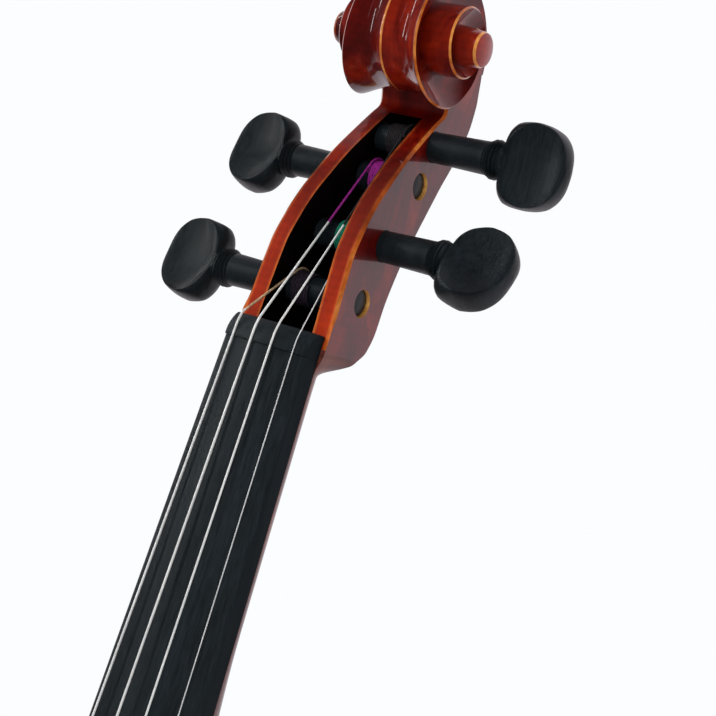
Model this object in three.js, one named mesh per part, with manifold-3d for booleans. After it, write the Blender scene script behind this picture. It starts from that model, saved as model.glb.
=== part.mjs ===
// A full-size violin, upright: scroll up, strings towards -Y, treble side towards +X.
// All lengths are in millimetres. The body frame has its zero on the lower edge of the body,
// with y counted from the belly's glued face towards the back. The neck frame (x, v, u) has its
// zero where the fingerboard's glued face meets the body's upper edge: v runs backwards, u up.
import * as THREE from "three";
import { mergeVertices } from "three/addons/utils/BufferGeometryUtils.js";
import Module from "manifold-3d";

const wasm = await Module();
wasm.setup();

// Fits
const seatGap = 0.3; // between pieces that sit on, in or against each other
const turnGap = 0.15; // round a turning shaft
const cutRun = 2; // how far a cutter runs past what it cuts

// Body outline, treble half
const bodyLength = 356;
const lowerHalfWidth = 104;
const waistHalfWidth = 56;
const upperHalfWidth = 84;
const endFlatHalf = 12;
const cornerCutWidth = 4;
const cornerCutHeight = 5.5;
// Heights as shares of the body's length, and the corners' places as shares of the half widths
const outlineShares = {
  lowerWidest: 0.2079,
  waist: 0.5534,
  upperWidest: 0.8146,
  lowerCorner: 0.3694,
  upperCorner: 0.6826,
  lowerCornerOut: 0.8894,
  upperCornerOut: 0.9286,
};

// Plates and ribs
const edgeThickness = 4;
const bellyRise = 12;
const backRise = 11;
const plateThickness = 3.2;
const ribHeight = 31;
const ribThickness = 1.2;
const edgeOverhang = 2.8;
const liningThickness = 2;
const liningHeight = 7;
const buttonRadius = 11;
const buttonRise = 2;

// Blocks, bar and post
const endBlockHalf = 26;
const endBlockDepth = 17;
const cornerBlockDepth = 5;
const barLengthShare = 0.753;
const barThickness = 5.5;
const barHeight = 11;
const barEndHeight = 5;
const barX = -18;
const postRadius = 3;
const postX = 19;
const postDrop = 7;

// Sound holes
const bodyStopShare = 0.5478;
const soundHoleLength = 70;
const soundHoleEyeSides = 12;
const soundHoleSpread = 32;
const soundHoleX = 38.8;
const soundHoleHalf = 3.2;
const upperEyeRadius = 3.3;
const lowerEyeRadius = 4.5;

// Neck and its setting
const neckTilt = 6.1;
const neckOverstand = 6.3;
const neckStop = 130;
const neckDepthLow = 12.6;
const neckDepthTop = 11.5;
const heelDepth = 43.5;
const rootHalfFront = 17;
const rootHalfBack = 11;
const rootMortise = 6;

// Pegbox and scroll
const headLength = 84.3;
const headDepth = 39.7;
const cheekHalfLow = 13.2;
const cheekHalfTop = 10.1;
const cheekWall = 4.9;
const floorWall = 4.4;
const throatLength = 67;
const throatDepth = 22;
const cavityStart = 2.8;
const eyeDepth = 14.2;
const voluteRadius = 18.6;
const eyeRadius = 4.7;
const eyeHalf = 21.4;

// Fingerboard and nut
const boardLength = 270;
const boardHalfTop = 12;
const boardHalfEnd = 21.1;
const boardRadius = 42;
const boardEdge = 5.2;
const boardHollow = 3;
const nutLength = 6;
const nutRise = 0.5;

// Strings, bass to treble
const stringNames = ["g", "d", "a", "e"];
const stringDiameters = [0.8, 0.84, 0.68, 0.3];
const nutSpacing = 17.5;
const bridgeSpacing = 34;
const boardClearances = [5.5, 5, 4.2, 3.5];

// Pegs, in the order of the strings: depth and height of each axis in the neck frame
const pegDepths = [10, 21.8, 23.5, 13];
const pegHeights = [146.8, 179.8, 190.6, 162];
const pegSides = [-1, -1, 1, 1];
const pegTurnDegrees = [12, 16, -8, 30];
const pegRadius = 3.9;
const pegEndRadius = 3.3;
const pegRecess = 0.8;
const collarX = 26.5;
const collarRadius = 5.4;
const headLengthPeg = 27;
const headHalfBreadth = 11;
const headHalfThickness = 6;
const windingLoops = [4, 4, 4, 5];
const windingOuterX = [-6.1, -4.3, 3.4, 5.6];
const windingPitchGap = 0.5;

// Bridge
const bridgeHalf = 20.5;
const bridgeFoot = 4.4;
const bridgeTop = 1.6;
const bridgeSideRun = 2.4;

// Tailpiece, saddle, gut and end button
const tailpieceLength = 100;
const tailpieceHalfTop = 20.5;
const tailpieceHalfEnd = 11;
const tailpieceEdge = 3.4;
const tailpieceCrownTop = 7.5;
const tailpieceCrownEnd = 5;
const tailpieceLiftTop = 22;
const tailpieceLiftEnd = 10.5;
const tailFretWidth = 1.8;
const tailFretRise = 1.6;
const slotRadius = 2.4;
const slotHalf = 0.8;
const slotDrop = 9;
const saddleHalf = 17.5;
const saddleLength = 8;
const saddleHeight = 9;
const gutRadius = 0.85;
const gutHalf = 5.6;
const endButtonRadius = 7;
const endButtonNeck = 4.6;
const endButtonShaft = 3.9;
const endButtonOut = 12;

// Fine tuner of the E string
const tunerX = 15.6;
const tunerWidth = 5;
const tunerLength = 16;
const tunerScrewRadius = 1;
const tunerWall = 1;
const tunerBase = 2;
const tunerHeadRadius = 3.6;
const tunerRise = 14;

// Chin rest
const chinPlateHalf = 38;
const chinPlateDeep = 33;
const chinPlateX = -60;
const chinPlateZ = 27;
const chinPlateLift = 20;
const chinPlateThickness = 5;
const chinDish = 6;
const clampHalf = 15;
const clampX = -45;
const clampOut = 6.5;
const clampRod = 1.7;
const barrelRadius = 3.3;
const barrelLength = 20;
const corkThickness = 2.2;
const footLength = 11;

const lowerCornerX = lowerHalfWidth * outlineShares.lowerCornerOut;
const lowerCornerZ = bodyLength * outlineShares.lowerCorner;
const upperCornerX = upperHalfWidth * outlineShares.upperCornerOut;
const upperCornerZ = bodyLength * outlineShares.upperCorner;
const barLength = bodyLength * barLengthShare;
const bridgeZ = bodyLength * (1 - bodyStopShare);
const backEdge = ribHeight + edgeThickness;
const ribInset = edgeOverhang + ribThickness;
const tilt = THREE.MathUtils.degToRad(neckTilt);
const nutBack = neckStop + nutLength;
const eyeHeight = neckStop + headLength;
const throatHeight = neckStop + throatLength;
const tailpieceLow = saddleLength + seatGap;
const tailFretZ = tailpieceLow + tailpieceLength - tailFretWidth;

// Colours and finishes
const finishes = {
  varnish: { color: 0x8a2408, roughness: 0.22, metalness: 0 },
  bellyVarnish: { color: 0xb4501a, roughness: 0.25, metalness: 0 },
  spruce: { color: 0xd9b98a, roughness: 0.7, metalness: 0 },
  bareMaple: { color: 0xd8b583, roughness: 0.55, metalness: 0 },
  ebony: { color: 0x14171a, roughness: 0.42, metalness: 0 },
  steel: { color: 0xc4c6c8, roughness: 0.28, metalness: 1 },
  gut: { color: 0x24211e, roughness: 0.5, metalness: 0 },
  cork: { color: 0xa9794a, roughness: 0.9, metalness: 0 },
  gSilk: { color: 0x6c6478, roughness: 0.8, metalness: 0 },
  dSilk: { color: 0xa0208c, roughness: 0.8, metalness: 0 },
  aSilk: { color: 0x50525c, roughness: 0.8, metalness: 0 },
  eSilk: { color: 0x1f7a58, roughness: 0.8, metalness: 0 },
};

const violin = new THREE.Group();
const neckGroup = new THREE.Group();
const neckMatrix = new THREE.Matrix4()
  .makeTranslation(0, -edgeThickness - neckOverstand, bodyLength)
  .multiply(new THREE.Matrix4().makeRotationX(-tilt));

// One closed surface from corner points and triangles, turned so that it faces outwards
function closedSurface(points, triangles) {
  let volume = 0;
  for (const [a, b, c] of triangles) {
    const [p, q, r] = [points[a], points[b], points[c]];
    volume += p[0] * (q[1] * r[2] - q[2] * r[1]);
    volume += p[1] * (q[2] * r[0] - q[0] * r[2]);
    volume += p[2] * (q[0] * r[1] - q[1] * r[0]);
  }
  const faces = volume < 0 ? triangles.map(([a, b, c]) => [a, c, b]) : triangles;
  const geometry = new THREE.BufferGeometry();
  geometry.setAttribute("position", new THREE.Float32BufferAttribute(points.flat(), 3));
  geometry.setIndex(faces.flat());
  return geometry;
}

// A flat outline (pairs a, b) carried from low to high; place gives the point of (a, b, t)
function prism(outline, low, high, place, holes = []) {
  const rings = [outline, ...holes];
  const flat = rings.map((ring) => ring.map(([a, b]) => new THREE.Vector2(a, b)));
  if (THREE.ShapeUtils.isClockWise(flat[0])) flat[0].reverse();
  for (const hole of flat.slice(1)) {
    if (!THREE.ShapeUtils.isClockWise(hole)) hole.reverse();
  }
  const caps = THREE.ShapeUtils.triangulateShape(flat[0], flat.slice(1));
  const corners = flat.flat();
  const count = corners.length;
  const points = [low, high].flatMap((t) => corners.map((c) => place(c.x, c.y, t)));
  const triangles = [];
  for (const [a, b, c] of caps) {
    triangles.push([a, b, c], [a + count, c + count, b + count]);
  }
  let start = 0;
  for (const ring of flat) {
    for (let i = 0; i < ring.length; i++) {
      const a = start + i;
      const b = start + ((i + 1) % ring.length);
      triangles.push([a, a + count, b + count], [a, b + count, b]);
    }
    start += ring.length;
  }
  return closedSurface(points, triangles);
}

// Rings of equal count joined in order, closed by a fan at each end
function loft(rings) {
  const count = rings[0].length;
  const points = rings.flat();
  const triangles = [];
  for (let r = 0; r + 1 < rings.length; r++) {
    for (let i = 0; i < count; i++) {
      const a = r * count + i;
      const b = r * count + ((i + 1) % count);
      triangles.push([a, b, b + count], [a, b + count, a + count]);
    }
  }
  for (const ring of [0, rings.length - 1]) {
    const middle = [0, 1, 2].map((k) => rings[ring].reduce((sum, p) => sum + p[k], 0) / count);
    points.push(middle);
    for (let i = 0; i < count; i++) {
      const a = ring * count + i;
      const b = ring * count + ((i + 1) % count);
      triangles.push(ring ? [a, b, points.length - 1] : [b, a, points.length - 1]);
    }
  }
  return closedSurface(points, triangles);
}

// A round tube through points, with a ring square to the route at each of them
function tube(route, radius, sides) {
  const line = route.map((p) => new THREE.Vector3(...p));
  const steps = line.slice(1).map((p, i) => p.clone().sub(line[i]).normalize());
  let side = new THREE.Vector3(1, 0, 0);
  if (Math.abs(steps[0].x) > 0.9) side.set(0, 1, 0);
  const rings = line.map((point, i) => {
    const before = steps[Math.max(0, i - 1)];
    const after = steps[Math.min(i, steps.length - 1)];
    const along = before.clone().add(after).normalize();
    side.addScaledVector(along, -side.dot(along)).normalize();
    const up = new THREE.Vector3().crossVectors(along, side);
    return Array.from({ length: sides }, (_, k) => {
      const angle = (2 * Math.PI * k) / sides;
      return point
        .clone()
        .addScaledVector(side, radius * Math.cos(angle))
        .addScaledVector(up, radius * Math.sin(angle))
        .toArray();
    });
  });
  return loft(rings);
}

function solid(geometry) {
  const bare = geometry.clone();
  bare.deleteAttribute("normal");
  bare.deleteAttribute("uv");
  const merged = mergeVertices(bare);
  return new wasm.Manifold(
    new wasm.Mesh({
      numProp: 3,
      vertProperties: new Float32Array(merged.attributes.position.array),
      triVerts: new Uint32Array(merged.index.array),
    }),
  );
}

function geometryOf(made) {
  const mesh = made.getMesh();
  const positions = new Float32Array(mesh.numVert * 3);
  for (let i = 0; i < mesh.numVert; i++) {
    const corner = mesh.vertProperties.subarray(i * mesh.numProp, i * mesh.numProp + 3);
    positions.set(corner, i * 3);
  }
  const geometry = new THREE.BufferGeometry();
  geometry.setAttribute("position", new THREE.BufferAttribute(positions, 3));
  geometry.setIndex(new THREE.BufferAttribute(mesh.triVerts, 1));
  return geometry;
}

function cut(blank, ...cutters) {
  return geometryOf(cutters.reduce((rest, c) => rest.subtract(solid(c)), solid(blank)));
}

function join(...pieces) {
  return geometryOf(pieces.slice(1).reduce((sum, p) => sum.add(solid(p)), solid(pieces[0])));
}

function common(...pieces) {
  return geometryOf(pieces.slice(1).reduce((rest, p) => rest.intersect(solid(p)), solid(pieces[0])));
}

function moved(geometry, x, y, z) {
  return geometry.clone().translate(x, y, z);
}

// The same piece on the bass side
function mirrored(geometry) {
  const flipped = geometry.clone();
  const position = flipped.attributes.position;
  for (let i = 0; i < position.count; i++) position.setX(i, -position.getX(i));
  const index = flipped.index.array;
  for (let i = 0; i < index.length; i += 3) {
    [index[i + 1], index[i + 2]] = [index[i + 2], index[i + 1]];
  }
  return flipped;
}

function add(name, geometry, finish, group = violin) {
  const shown = geometry.index ? geometry.toNonIndexed() : geometry;
  shown.computeVertexNormals();
  const mesh = new THREE.Mesh(shown, new THREE.MeshStandardMaterial(finishes[finish]));
  mesh.name = name;
  group.add(mesh);
}

// Places of the two drawing planes: the front view (x, z) and the side view (v, u)
const frontPlace = (x, z, y) => [x, y, z];
const sidePlace = (v, u, x) => [x, v, u];
const floorPlace = (x, y, z) => [x, y, z];
const toBody = (x, v, u) => new THREE.Vector3(x, v, u).applyMatrix4(neckMatrix).toArray();
const mix = THREE.MathUtils.lerp;

function circle(x, y, radius, count) {
  return Array.from({ length: count }, (_, k) => {
    const angle = (2 * Math.PI * k) / count;
    return [x + radius * Math.cos(angle), y + radius * Math.sin(angle)];
  });
}

// Outline of the body: six curves up the treble side, with a straight cut at each corner.
// Each curve's two handles are shares of the box between its ends.
const lowerTip = [lowerCornerX, lowerCornerZ];
const lowerTipInner = [lowerCornerX - cornerCutWidth, lowerCornerZ + cornerCutHeight];
const upperTip = [upperCornerX, upperCornerZ];
const upperTipInner = [upperCornerX - cornerCutWidth / 2, upperCornerZ - cornerCutHeight];
const lowerWidest = [lowerHalfWidth, bodyLength * outlineShares.lowerWidest];
const waist = [waistHalfWidth, bodyLength * outlineShares.waist];
const upperWidest = [upperHalfWidth, bodyLength * outlineShares.upperWidest];
const curveShares = {
  lowerEnd: [[0.5, 0], [1, 0.42]],
  lowerHip: [[0, 0.42], [1.55, 0.62]],
  lowerBow: [[0.785, 0.01], [1, 0.43]],
  upperBow: [[0, 0.49], [0.18, 0.975]],
  upperHip: [[-0.75, 0.3], [1, 0.62]],
  upperEnd: [[0, 0.55], [0.55, 1]],
};

function outlineCurve(from, to, shares) {
  const corner = ([a, b]) => new THREE.Vector2(mix(from[0], to[0], a), mix(from[1], to[1], b));
  return new THREE.CubicBezierCurve(corner([0, 0]), corner(shares[0]), corner(shares[1]), corner([1, 1]));
}

const curves = {
  lowerEnd: outlineCurve([endFlatHalf, 0], lowerWidest, curveShares.lowerEnd),
  lowerHip: outlineCurve(lowerWidest, lowerTip, curveShares.lowerHip),
  lowerBow: outlineCurve(lowerTipInner, waist, curveShares.lowerBow),
  upperBow: outlineCurve(waist, upperTipInner, curveShares.upperBow),
  upperHip: outlineCurve(upperTip, upperWidest, curveShares.upperHip),
  upperEnd: outlineCurve(upperWidest, [endFlatHalf, bodyLength], curveShares.upperEnd),
};
const curveSteps = { lowerEnd: 8, lowerHip: 6, lowerBow: 6, upperBow: 6, upperHip: 5, upperEnd: 8 };

// Points along part of a curve, moved into the body by inset. Between the curve's own steps they
// lie on the chord, so that nested pieces stay parallel.
function insetCurve(name, inset, from = 0, to = 1) {
  const steps = curveSteps[name];
  const step = (k) => {
    const point = curves[name].getPoint(k / steps);
    const along = curves[name].getTangent(k / steps);
    return [point.x - along.y * inset, point.y + along.x * inset];
  };
  const places = Array.from({ length: steps + 1 }, (_, i) => i / steps).filter((t) => t > from && t < to);
  return [from, ...places, to].map((t) => {
    const k = Math.min(Math.floor(t * steps), steps - 1);
    const [a, b] = [step(k), step(k + 1)];
    return [mix(a[0], b[0], t * steps - k), mix(a[1], b[1], t * steps - k)];
  });
}

// Share of an inset curve at which its x reaches half
function shareAtHalf(name, half, inset) {
  const xAt = (t) => insetCurve(name, inset, t, t)[0][0];
  const rising = xAt(0) < xAt(1);
  let [low, high] = [0, 1];
  for (let i = 0; i < 30; i++) {
    const middle = (low + high) / 2;
    if (xAt(middle) < half === rising) low = middle;
    else high = middle;
  }
  return low;
}

// A strip between two insets along curves, each given as name, from and to
function strip(parts, outer, inner, low, high, ends = []) {
  const side = (inset) => [
    ...ends.map((x) => [x, inset]),
    ...parts.flatMap(([name, from, to], k) => insetCurve(name, inset, from, to).slice(k ? 1 : 0)),
  ];
  return prism([...side(outer), ...side(inner).reverse()], low, high, frontPlace);
}

// Height of the arching above the edge, from 0 on the edge to 1 on the crown
const archAcrossPower = 1.15;
const archAlongPower = 3.2;
const archEndShare = 0.62;
function archHalfWidth(z) {
  const knots = [
    [0, lowerHalfWidth * archEndShare],
    lowerWidest.slice().reverse(),
    waist.slice().reverse(),
    upperWidest.slice().reverse(),
    [bodyLength, upperHalfWidth * archEndShare],
  ];
  const k = Math.max(1, knots.findIndex(([height]) => height >= Math.min(z, bodyLength)));
  const [low, high] = [knots[k - 1], knots[k]];
  const share = THREE.MathUtils.clamp((z - low[0]) / (high[0] - low[0]), 0, 1);
  return mix(low[1], high[1], 0.5 - 0.5 * Math.cos(Math.PI * share));
}

function archShare(x, z) {
  const across = Math.min(1, Math.abs(x) / archHalfWidth(z));
  const along = Math.min(1, Math.abs((2 * z) / bodyLength - 1));
  return (0.5 + 0.5 * Math.cos(Math.PI * across ** archAcrossPower)) * (1 - along ** archAlongPower);
}

const bellyTop = (x, z) => -edgeThickness - bellyRise * archShare(x, z);
const backTop = (x, z) => backEdge + backRise * archShare(x, z);

// An arched plate: an outer and an inner skin on rows across the body
const rowShares = [-1, -0.87, -0.7, -0.46, -0.22, 0, 0.22, 0.46, 0.7, 0.87, 1];
const hollowShare = 0.8;
function archedPlate(glued, outwards, rise) {
  const rows = Object.keys(curves).flatMap((name) => insetCurve(name, 0));
  const count = rowShares.length;
  const outer = [];
  const inner = [];
  for (const [half, z] of rows) {
    for (const share of rowShares) {
      const x = half * share;
      const height = edgeThickness + rise * archShare(x, z);
      const endFlat = ribInset + endBlockDepth;
      const open = Math.abs(share) < hollowShare && z > endFlat && z < bodyLength - endFlat;
      const depth = open ? Math.max(0, height - plateThickness) : 0;
      outer.push([x, glued + outwards * height, z]);
      inner.push([x, glued + outwards * depth, z]);
    }
  }
  const total = outer.length;
  const triangles = [];
  for (let r = 0; r + 1 < rows.length; r++) {
    for (let c = 0; c + 1 < count; c++) {
      const a = r * count + c;
      const b = a + count;
      const treble = c >= (count - 1) / 2;
      const halves = treble ? [[a, a + 1, b], [a + 1, b + 1, b]] : [[a, a + 1, b + 1], [a, b + 1, b]];
      for (const [p, q, s] of halves) {
        triangles.push([p, q, s], [p + total, s + total, q + total]);
      }
    }
    for (const [c, turn] of [[0, false], [count - 1, true]]) {
      const a = r * count + c;
      const b = a + count;
      const sides = [[a, b, b + total], [a, b + total, a + total]];
      triangles.push(...sides.map(([p, q, s]) => (turn ? [p, s, q] : [p, q, s])));
    }
  }
  for (let c = 0; c + 1 < count; c++) {
    const low = [[c, c + total, c + 1 + total], [c, c + 1 + total, c + 1]];
    const top = (rows.length - 1) * count;
    triangles.push(...low, ...low.map(([p, q, s]) => [p + top, s + top, q + top]));
  }
  return closedSurface([...outer, ...inner], triangles);
}

// The neck's root in its mortise, grown all round for the cuts in what holds it
function neckRoot(grow) {
  const half = (y) => mix(rootHalfFront, rootHalfBack, (y + edgeThickness) / backEdge) + grow;
  const front = -edgeThickness - neckOverstand - grow;
  const back = ribHeight + (grow ? 0 : -seatGap);
  const low = bodyLength - rootMortise - grow;
  const high = bodyLength + edgeOverhang + (grow ? cutRun : 0);
  const ring = (y) => [[-half(y), y, low], [half(y), y, low], [half(y), y, high], [-half(y), y, high]];
  return loft([ring(front), ring(back)]);
}

// Sound hole: a band along a line, given as shares of spread and length, with an eye at each end
const soundHoleLineShares = [
  [-0.456, 0.421], [-0.353, 0.489], [-0.203, 0.421], [-0.113, 0.243], [0, 0],
  [0.163, -0.229], [0.306, -0.414], [0.444, -0.477], [0.563, -0.414],
];
const soundHoleWidthShares = [0.44, 0.5, 0.81, 0.97, 1, 0.97, 0.81, 0.53, 0.47];
function soundHoleCutters() {
  const place = ([a, b]) => [soundHoleX + a * soundHoleSpread, bridgeZ + b * soundHoleLength];
  const line = new THREE.SplineCurve(
    soundHoleLineShares.map((share) => new THREE.Vector2(...place(share))),
  );
  const count = 18;
  const side = (turn) =>
    Array.from({ length: count + 1 }, (_, i) => {
      const at = (i / count) * (soundHoleWidthShares.length - 1);
      const k = Math.min(Math.floor(at), soundHoleWidthShares.length - 2);
      const share = mix(soundHoleWidthShares[k], soundHoleWidthShares[k + 1], at - k);
      const point = line.getPoint(i / count);
      const along = line.getTangent(i / count);
      const half = turn * share * soundHoleHalf;
      return [point.x - along.y * half, point.y + along.x * half];
    });
  const deep = [-edgeThickness - bellyRise - cutRun, cutRun];
  const upperEye = place(soundHoleLineShares[0]);
  const lowerEye = place(soundHoleLineShares[soundHoleLineShares.length - 1]);
  const band = prism([...side(1), ...side(-1).reverse()], ...deep, frontPlace);
  const upper = prism(circle(...upperEye, upperEyeRadius, soundHoleEyeSides), ...deep, frontPlace);
  const lower = prism(circle(...lowerEye, lowerEyeRadius, soundHoleEyeSides), ...deep, frontPlace);
  const whole = join(band, upper, lower);
  return [whole, mirrored(whole)];
}

function makePlates() {
  const notch = prism(
    [
      [-saddleHalf - seatGap, -cutRun],
      [saddleHalf + seatGap, -cutRun],
      [saddleHalf + seatGap, saddleLength + seatGap],
      [-saddleHalf - seatGap, saddleLength + seatGap],
    ],
    -edgeThickness - bellyRise,
    cutRun,
    frontPlace,
  );
  const bellyBlank = archedPlate(0, -1, bellyRise);
  const belly = cut(bellyBlank, ...soundHoleCutters(), neckRoot(seatGap), notch);
  add("belly", belly, "bellyVarnish");

  const tabCentre = bodyLength + buttonRise;
  const tab = [[-buttonRadius, bodyLength - edgeThickness], [buttonRadius, bodyLength - edgeThickness]];
  for (let k = 0; k <= 10; k++) {
    const angle = (Math.PI * k) / 10;
    tab.push([buttonRadius * Math.cos(angle), tabCentre + buttonRadius * Math.sin(angle)]);
  }
  const back = join(archedPlate(ribHeight, 1, backRise), prism(tab, ribHeight, backEdge, frontPlace));
  add("back_plate", back, "varnish");
  return { belly, back, bellyBlank };
}

// Shares of the curves where the corner blocks begin and end
const cornerBlockShares = {
  lower: { bout: "lowerHip", boutFrom: 0.62, boutTo: 0.93, bow: "lowerBow", bowFrom: 0.1, bowTo: 0.33 },
  upper: { bout: "upperHip", boutFrom: 0.1, boutTo: 0.45, bow: "upperBow", bowFrom: 0.58, bowTo: 0.88 },
};

function makeRibsAndBlocks() {
  const bouts = {
    lower: { parts: [["lowerEnd", 0, 1], ["lowerHip", 0, 1]], ends: [0] },
    middle: { parts: [["lowerBow", 0, 1], ["upperBow", 0, 1]] },
    upper: { parts: [["upperHip", 0, 1], ["upperEnd", 0, 1]] },
  };
  const wide = edgeOverhang + ribThickness + seatGap;
  const guard = (name) => strip([[name, 0, 1]], -wide, wide, -cutRun, ribHeight + cutRun);
  const buttonHole = moved(
    new THREE.CylinderGeometry(
      endButtonShaft + seatGap,
      endButtonShaft + seatGap,
      2 * (endBlockDepth + ribInset + cutRun),
      16,
    ).rotateX(Math.PI / 2),
    0,
    ribHeight / 2,
    0,
  );
  const root = neckRoot(seatGap);
  for (const [bout, { parts, ends }] of Object.entries(bouts)) {
    const blank = strip(parts, edgeOverhang, ribInset, 0, ribHeight, ends);
    const cutters = { lower: [buttonHole], middle: [guard("lowerHip"), guard("upperHip")], upper: [root] };
    const rib = cut(blank, ...cutters[bout]);
    add(`rib_${bout}_treble`, rib, "varnish");
    add(`rib_${bout}_bass`, mirrored(rib), "varnish");
  }

  const inset = ribInset + seatGap;
  const blocks = {};
  for (const [place, share] of Object.entries(cornerBlockShares)) {
    const bout = insetCurve(share.bout, inset, share.boutFrom, share.boutTo);
    const bow = insetCurve(share.bow, inset, share.bowFrom, share.bowTo);
    const deep = inset + cornerBlockDepth;
    const [boutEnd, bowEnd] = place === "lower" ? [share.boutFrom, share.bowTo] : [share.boutTo, share.bowFrom];
    const boutInside = insetCurve(share.bout, deep, boutEnd, boutEnd).slice(1);
    const bowInside = insetCurve(share.bow, deep, bowEnd, bowEnd).slice(1);
    const outer = place === "lower" ? [...bout, ...bow] : [...bow, ...bout];
    const inner = place === "lower" ? [...bowInside, ...boutInside] : [...boutInside, ...bowInside];
    const outline = [...outer, ...inner];
    blocks[place] = prism(outline, 0, ribHeight, frontPlace);
    add(`corner_block_${place}_treble`, blocks[place], "spruce");
    add(`corner_block_${place}_bass`, mirrored(blocks[place]), "spruce");
  }

  const rimWithin = (points) => {
    const k = points.findIndex(([x]) => x > endBlockHalf);
    const [a, b] = [points[k - 1], points[k]];
    const z = mix(a[1], b[1], (endBlockHalf - a[0]) / (b[0] - a[0]));
    return [[endBlockHalf, z], ...points.slice(0, k).reverse()];
  };
  const endBlock = (rim, flat) => [
    ...rim,
    ...rim.map(([x, z]) => [-x, z]).reverse(),
    [-endBlockHalf, flat],
    [endBlockHalf, flat],
  ];
  const upperFlat = bodyLength - inset - endBlockDepth;
  const lowerFlat = inset + endBlockDepth;
  const topRim = rimWithin(insetCurve("upperEnd", inset).reverse());
  const bottomRim = rimWithin(insetCurve("lowerEnd", inset));
  const topBlank = prism(endBlock(topRim, upperFlat), 0, ribHeight, frontPlace);
  const bottomBlank = prism(endBlock(bottomRim, lowerFlat), 0, ribHeight, frontPlace);
  add("upper_block", cut(topBlank, root), "spruce");
  add("lower_block", cut(bottomBlank, buttonHole), "spruce");
  makeLinings(inset);
}

// Twelve linings: each bout has one along the belly and one along the back
function makeLinings(inset) {
  const { lower, upper } = cornerBlockShares;
  const endShare = (name) => shareAtHalf(name, endBlockHalf + 2 * seatGap, inset + liningThickness);
  const runs = {
    lower: [["lowerEnd", endShare("lowerEnd"), 1], ["lowerHip", 0, lower.boutFrom - 0.04]],
    middle: [["lowerBow", lower.bowTo + 0.03, 1], ["upperBow", 0, upper.bowFrom - 0.03]],
    upper: [["upperHip", upper.boutTo + 0.04, 1], ["upperEnd", 0, endShare("upperEnd")]],
  };
  const levels = { belly: [0, liningHeight], back: [ribHeight - liningHeight, ribHeight] };
  for (const [bout, parts] of Object.entries(runs)) {
    for (const [side, [low, high]] of Object.entries(levels)) {
      const lining = strip(parts, inset, inset + liningThickness, low, high);
      add(`lining_${bout}_treble_${side}`, lining, "spruce");
      add(`lining_${bout}_bass_${side}`, mirrored(lining), "spruce");
    }
  }
}

// Bass bar and sound post, fitted between the arched plates
function makeBarAndPost({ belly, back }) {
  const middle = bodyLength / 2;
  const steps = 12;
  const rings = Array.from({ length: steps + 1 }, (_, i) => {
    const share = (2 * i) / steps - 1;
    const z = middle + (share * barLength) / 2;
    const roof = bellyTop(barX, z) + plateThickness - seatGap;
    const low = roof + mix(barHeight, barEndHeight, Math.abs(share) ** 1.5);
    const [a, b] = [barX - barThickness / 2, barX + barThickness / 2];
    return [[a, roof, z], [b, roof, z], [b, low, z], [a, low, z]];
  });
  add("bass_bar", cut(loft(rings), moved(belly, 0, seatGap, 0)), "spruce");

  const postZ = bridgeZ - postDrop;
  const post = prism(
    circle(postX, postZ, postRadius, 12),
    bellyTop(postX, postZ) + plateThickness - 1.5 * seatGap,
    backTop(postX, postZ) - plateThickness + 1.5 * seatGap,
    frontPlace,
  );
  add("sound_post", cut(post, moved(belly, 0, seatGap, 0), moved(back, 0, -seatGap, 0)), "spruce");
}

// Half width of the fingerboard and of the neck under it
const boardHalf = (u) => mix(boardHalfTop, boardHalfEnd, (neckStop - u) / boardLength);
const boardTop = (x, u) => {
  const half = boardHalf(u);
  const edge = Math.sqrt(boardRadius ** 2 - half ** 2);
  return -boardEdge - Math.sqrt(boardRadius ** 2 - x ** 2) + edge;
};

// Neck sections: place up the neck, depth between neck and heel, back width, fullness
const neckSectionShares = [
  [-0.01, 1, 0.66, 0.55], [0.07, 1, 0.64, 0.55], [0.105, 1, 0.56, 0.6], [0.128, 0.98, 0.34, 0.7],
  [0.146, 0.78, 0.5, 0.75], [0.17, 0.53, 0.7, 0.8], [0.205, 0.3, 0.85, 0.85], [0.25, 0.13, 0.95, 0.9],
  [0.32, 0.03, 1, 0.95], [0.5, 0, 1, 0.95], [0.95, 0, 1, 0.95], [1.03, 0, 1, 0.9],
];
function neckShaft() {
  const count = 14;
  const rings = neckSectionShares.map(([place, heel, back, fullness]) => {
    const u = place * neckStop;
    const depth = mix(mix(neckDepthLow, neckDepthTop, place), heelDepth, heel);
    return Array.from({ length: count + 1 }, (_, i) => {
      const angle = (Math.PI * i) / count;
      const down = Math.sin(angle) ** fullness;
      const across = Math.sign(Math.cos(angle)) * Math.abs(Math.cos(angle)) ** fullness;
      return [boardHalf(u) * across * mix(1, back, down), depth * down, u];
    });
  });
  return loft(rings);
}

// Side outline of the pegbox as shares of head length and depth: back edge, then front edge
const pegboxBackShares = [
  [-0.05, 0.288], [0.004, 0.302], [0.032, 0.38], [0.075, 0.476], [0.135, 0.522], [0.218, 0.532],
  [0.3, 0.575], [0.388, 0.628], [0.474, 0.697], [0.622, 0.82], [0.714, 0.915], [0.8, 0.982],
  [0.88, 0.985], [0.986, 0.92], [1.108, 0.746], [1.17, 0.6],
];
const pegboxFrontShares = [
  [-0.05, 0], [0.2, 0], [0.297, 0.002], [0.391, 0.045], [0.474, 0.112], [0.534, 0.178],
  [0.629, 0.3], [0.712, 0.42], [0.79, 0.55],
];
const headPoint = ([along, deep]) => [headDepth * deep, neckStop + headLength * along];

function headFront(low, high, lowHalf, highHalf) {
  const halfAt = (u) => mix(lowHalf, highHalf, (u - nutBack) / (throatHeight - nutBack));
  const outline = [[halfAt(low), low], [halfAt(high), high], [-halfAt(high), high], [-halfAt(low), low]];
  return prism(outline, -cutRun - eyeDepth, headDepth + cutRun, (x, u, v) => [x, v, u]);
}

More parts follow.
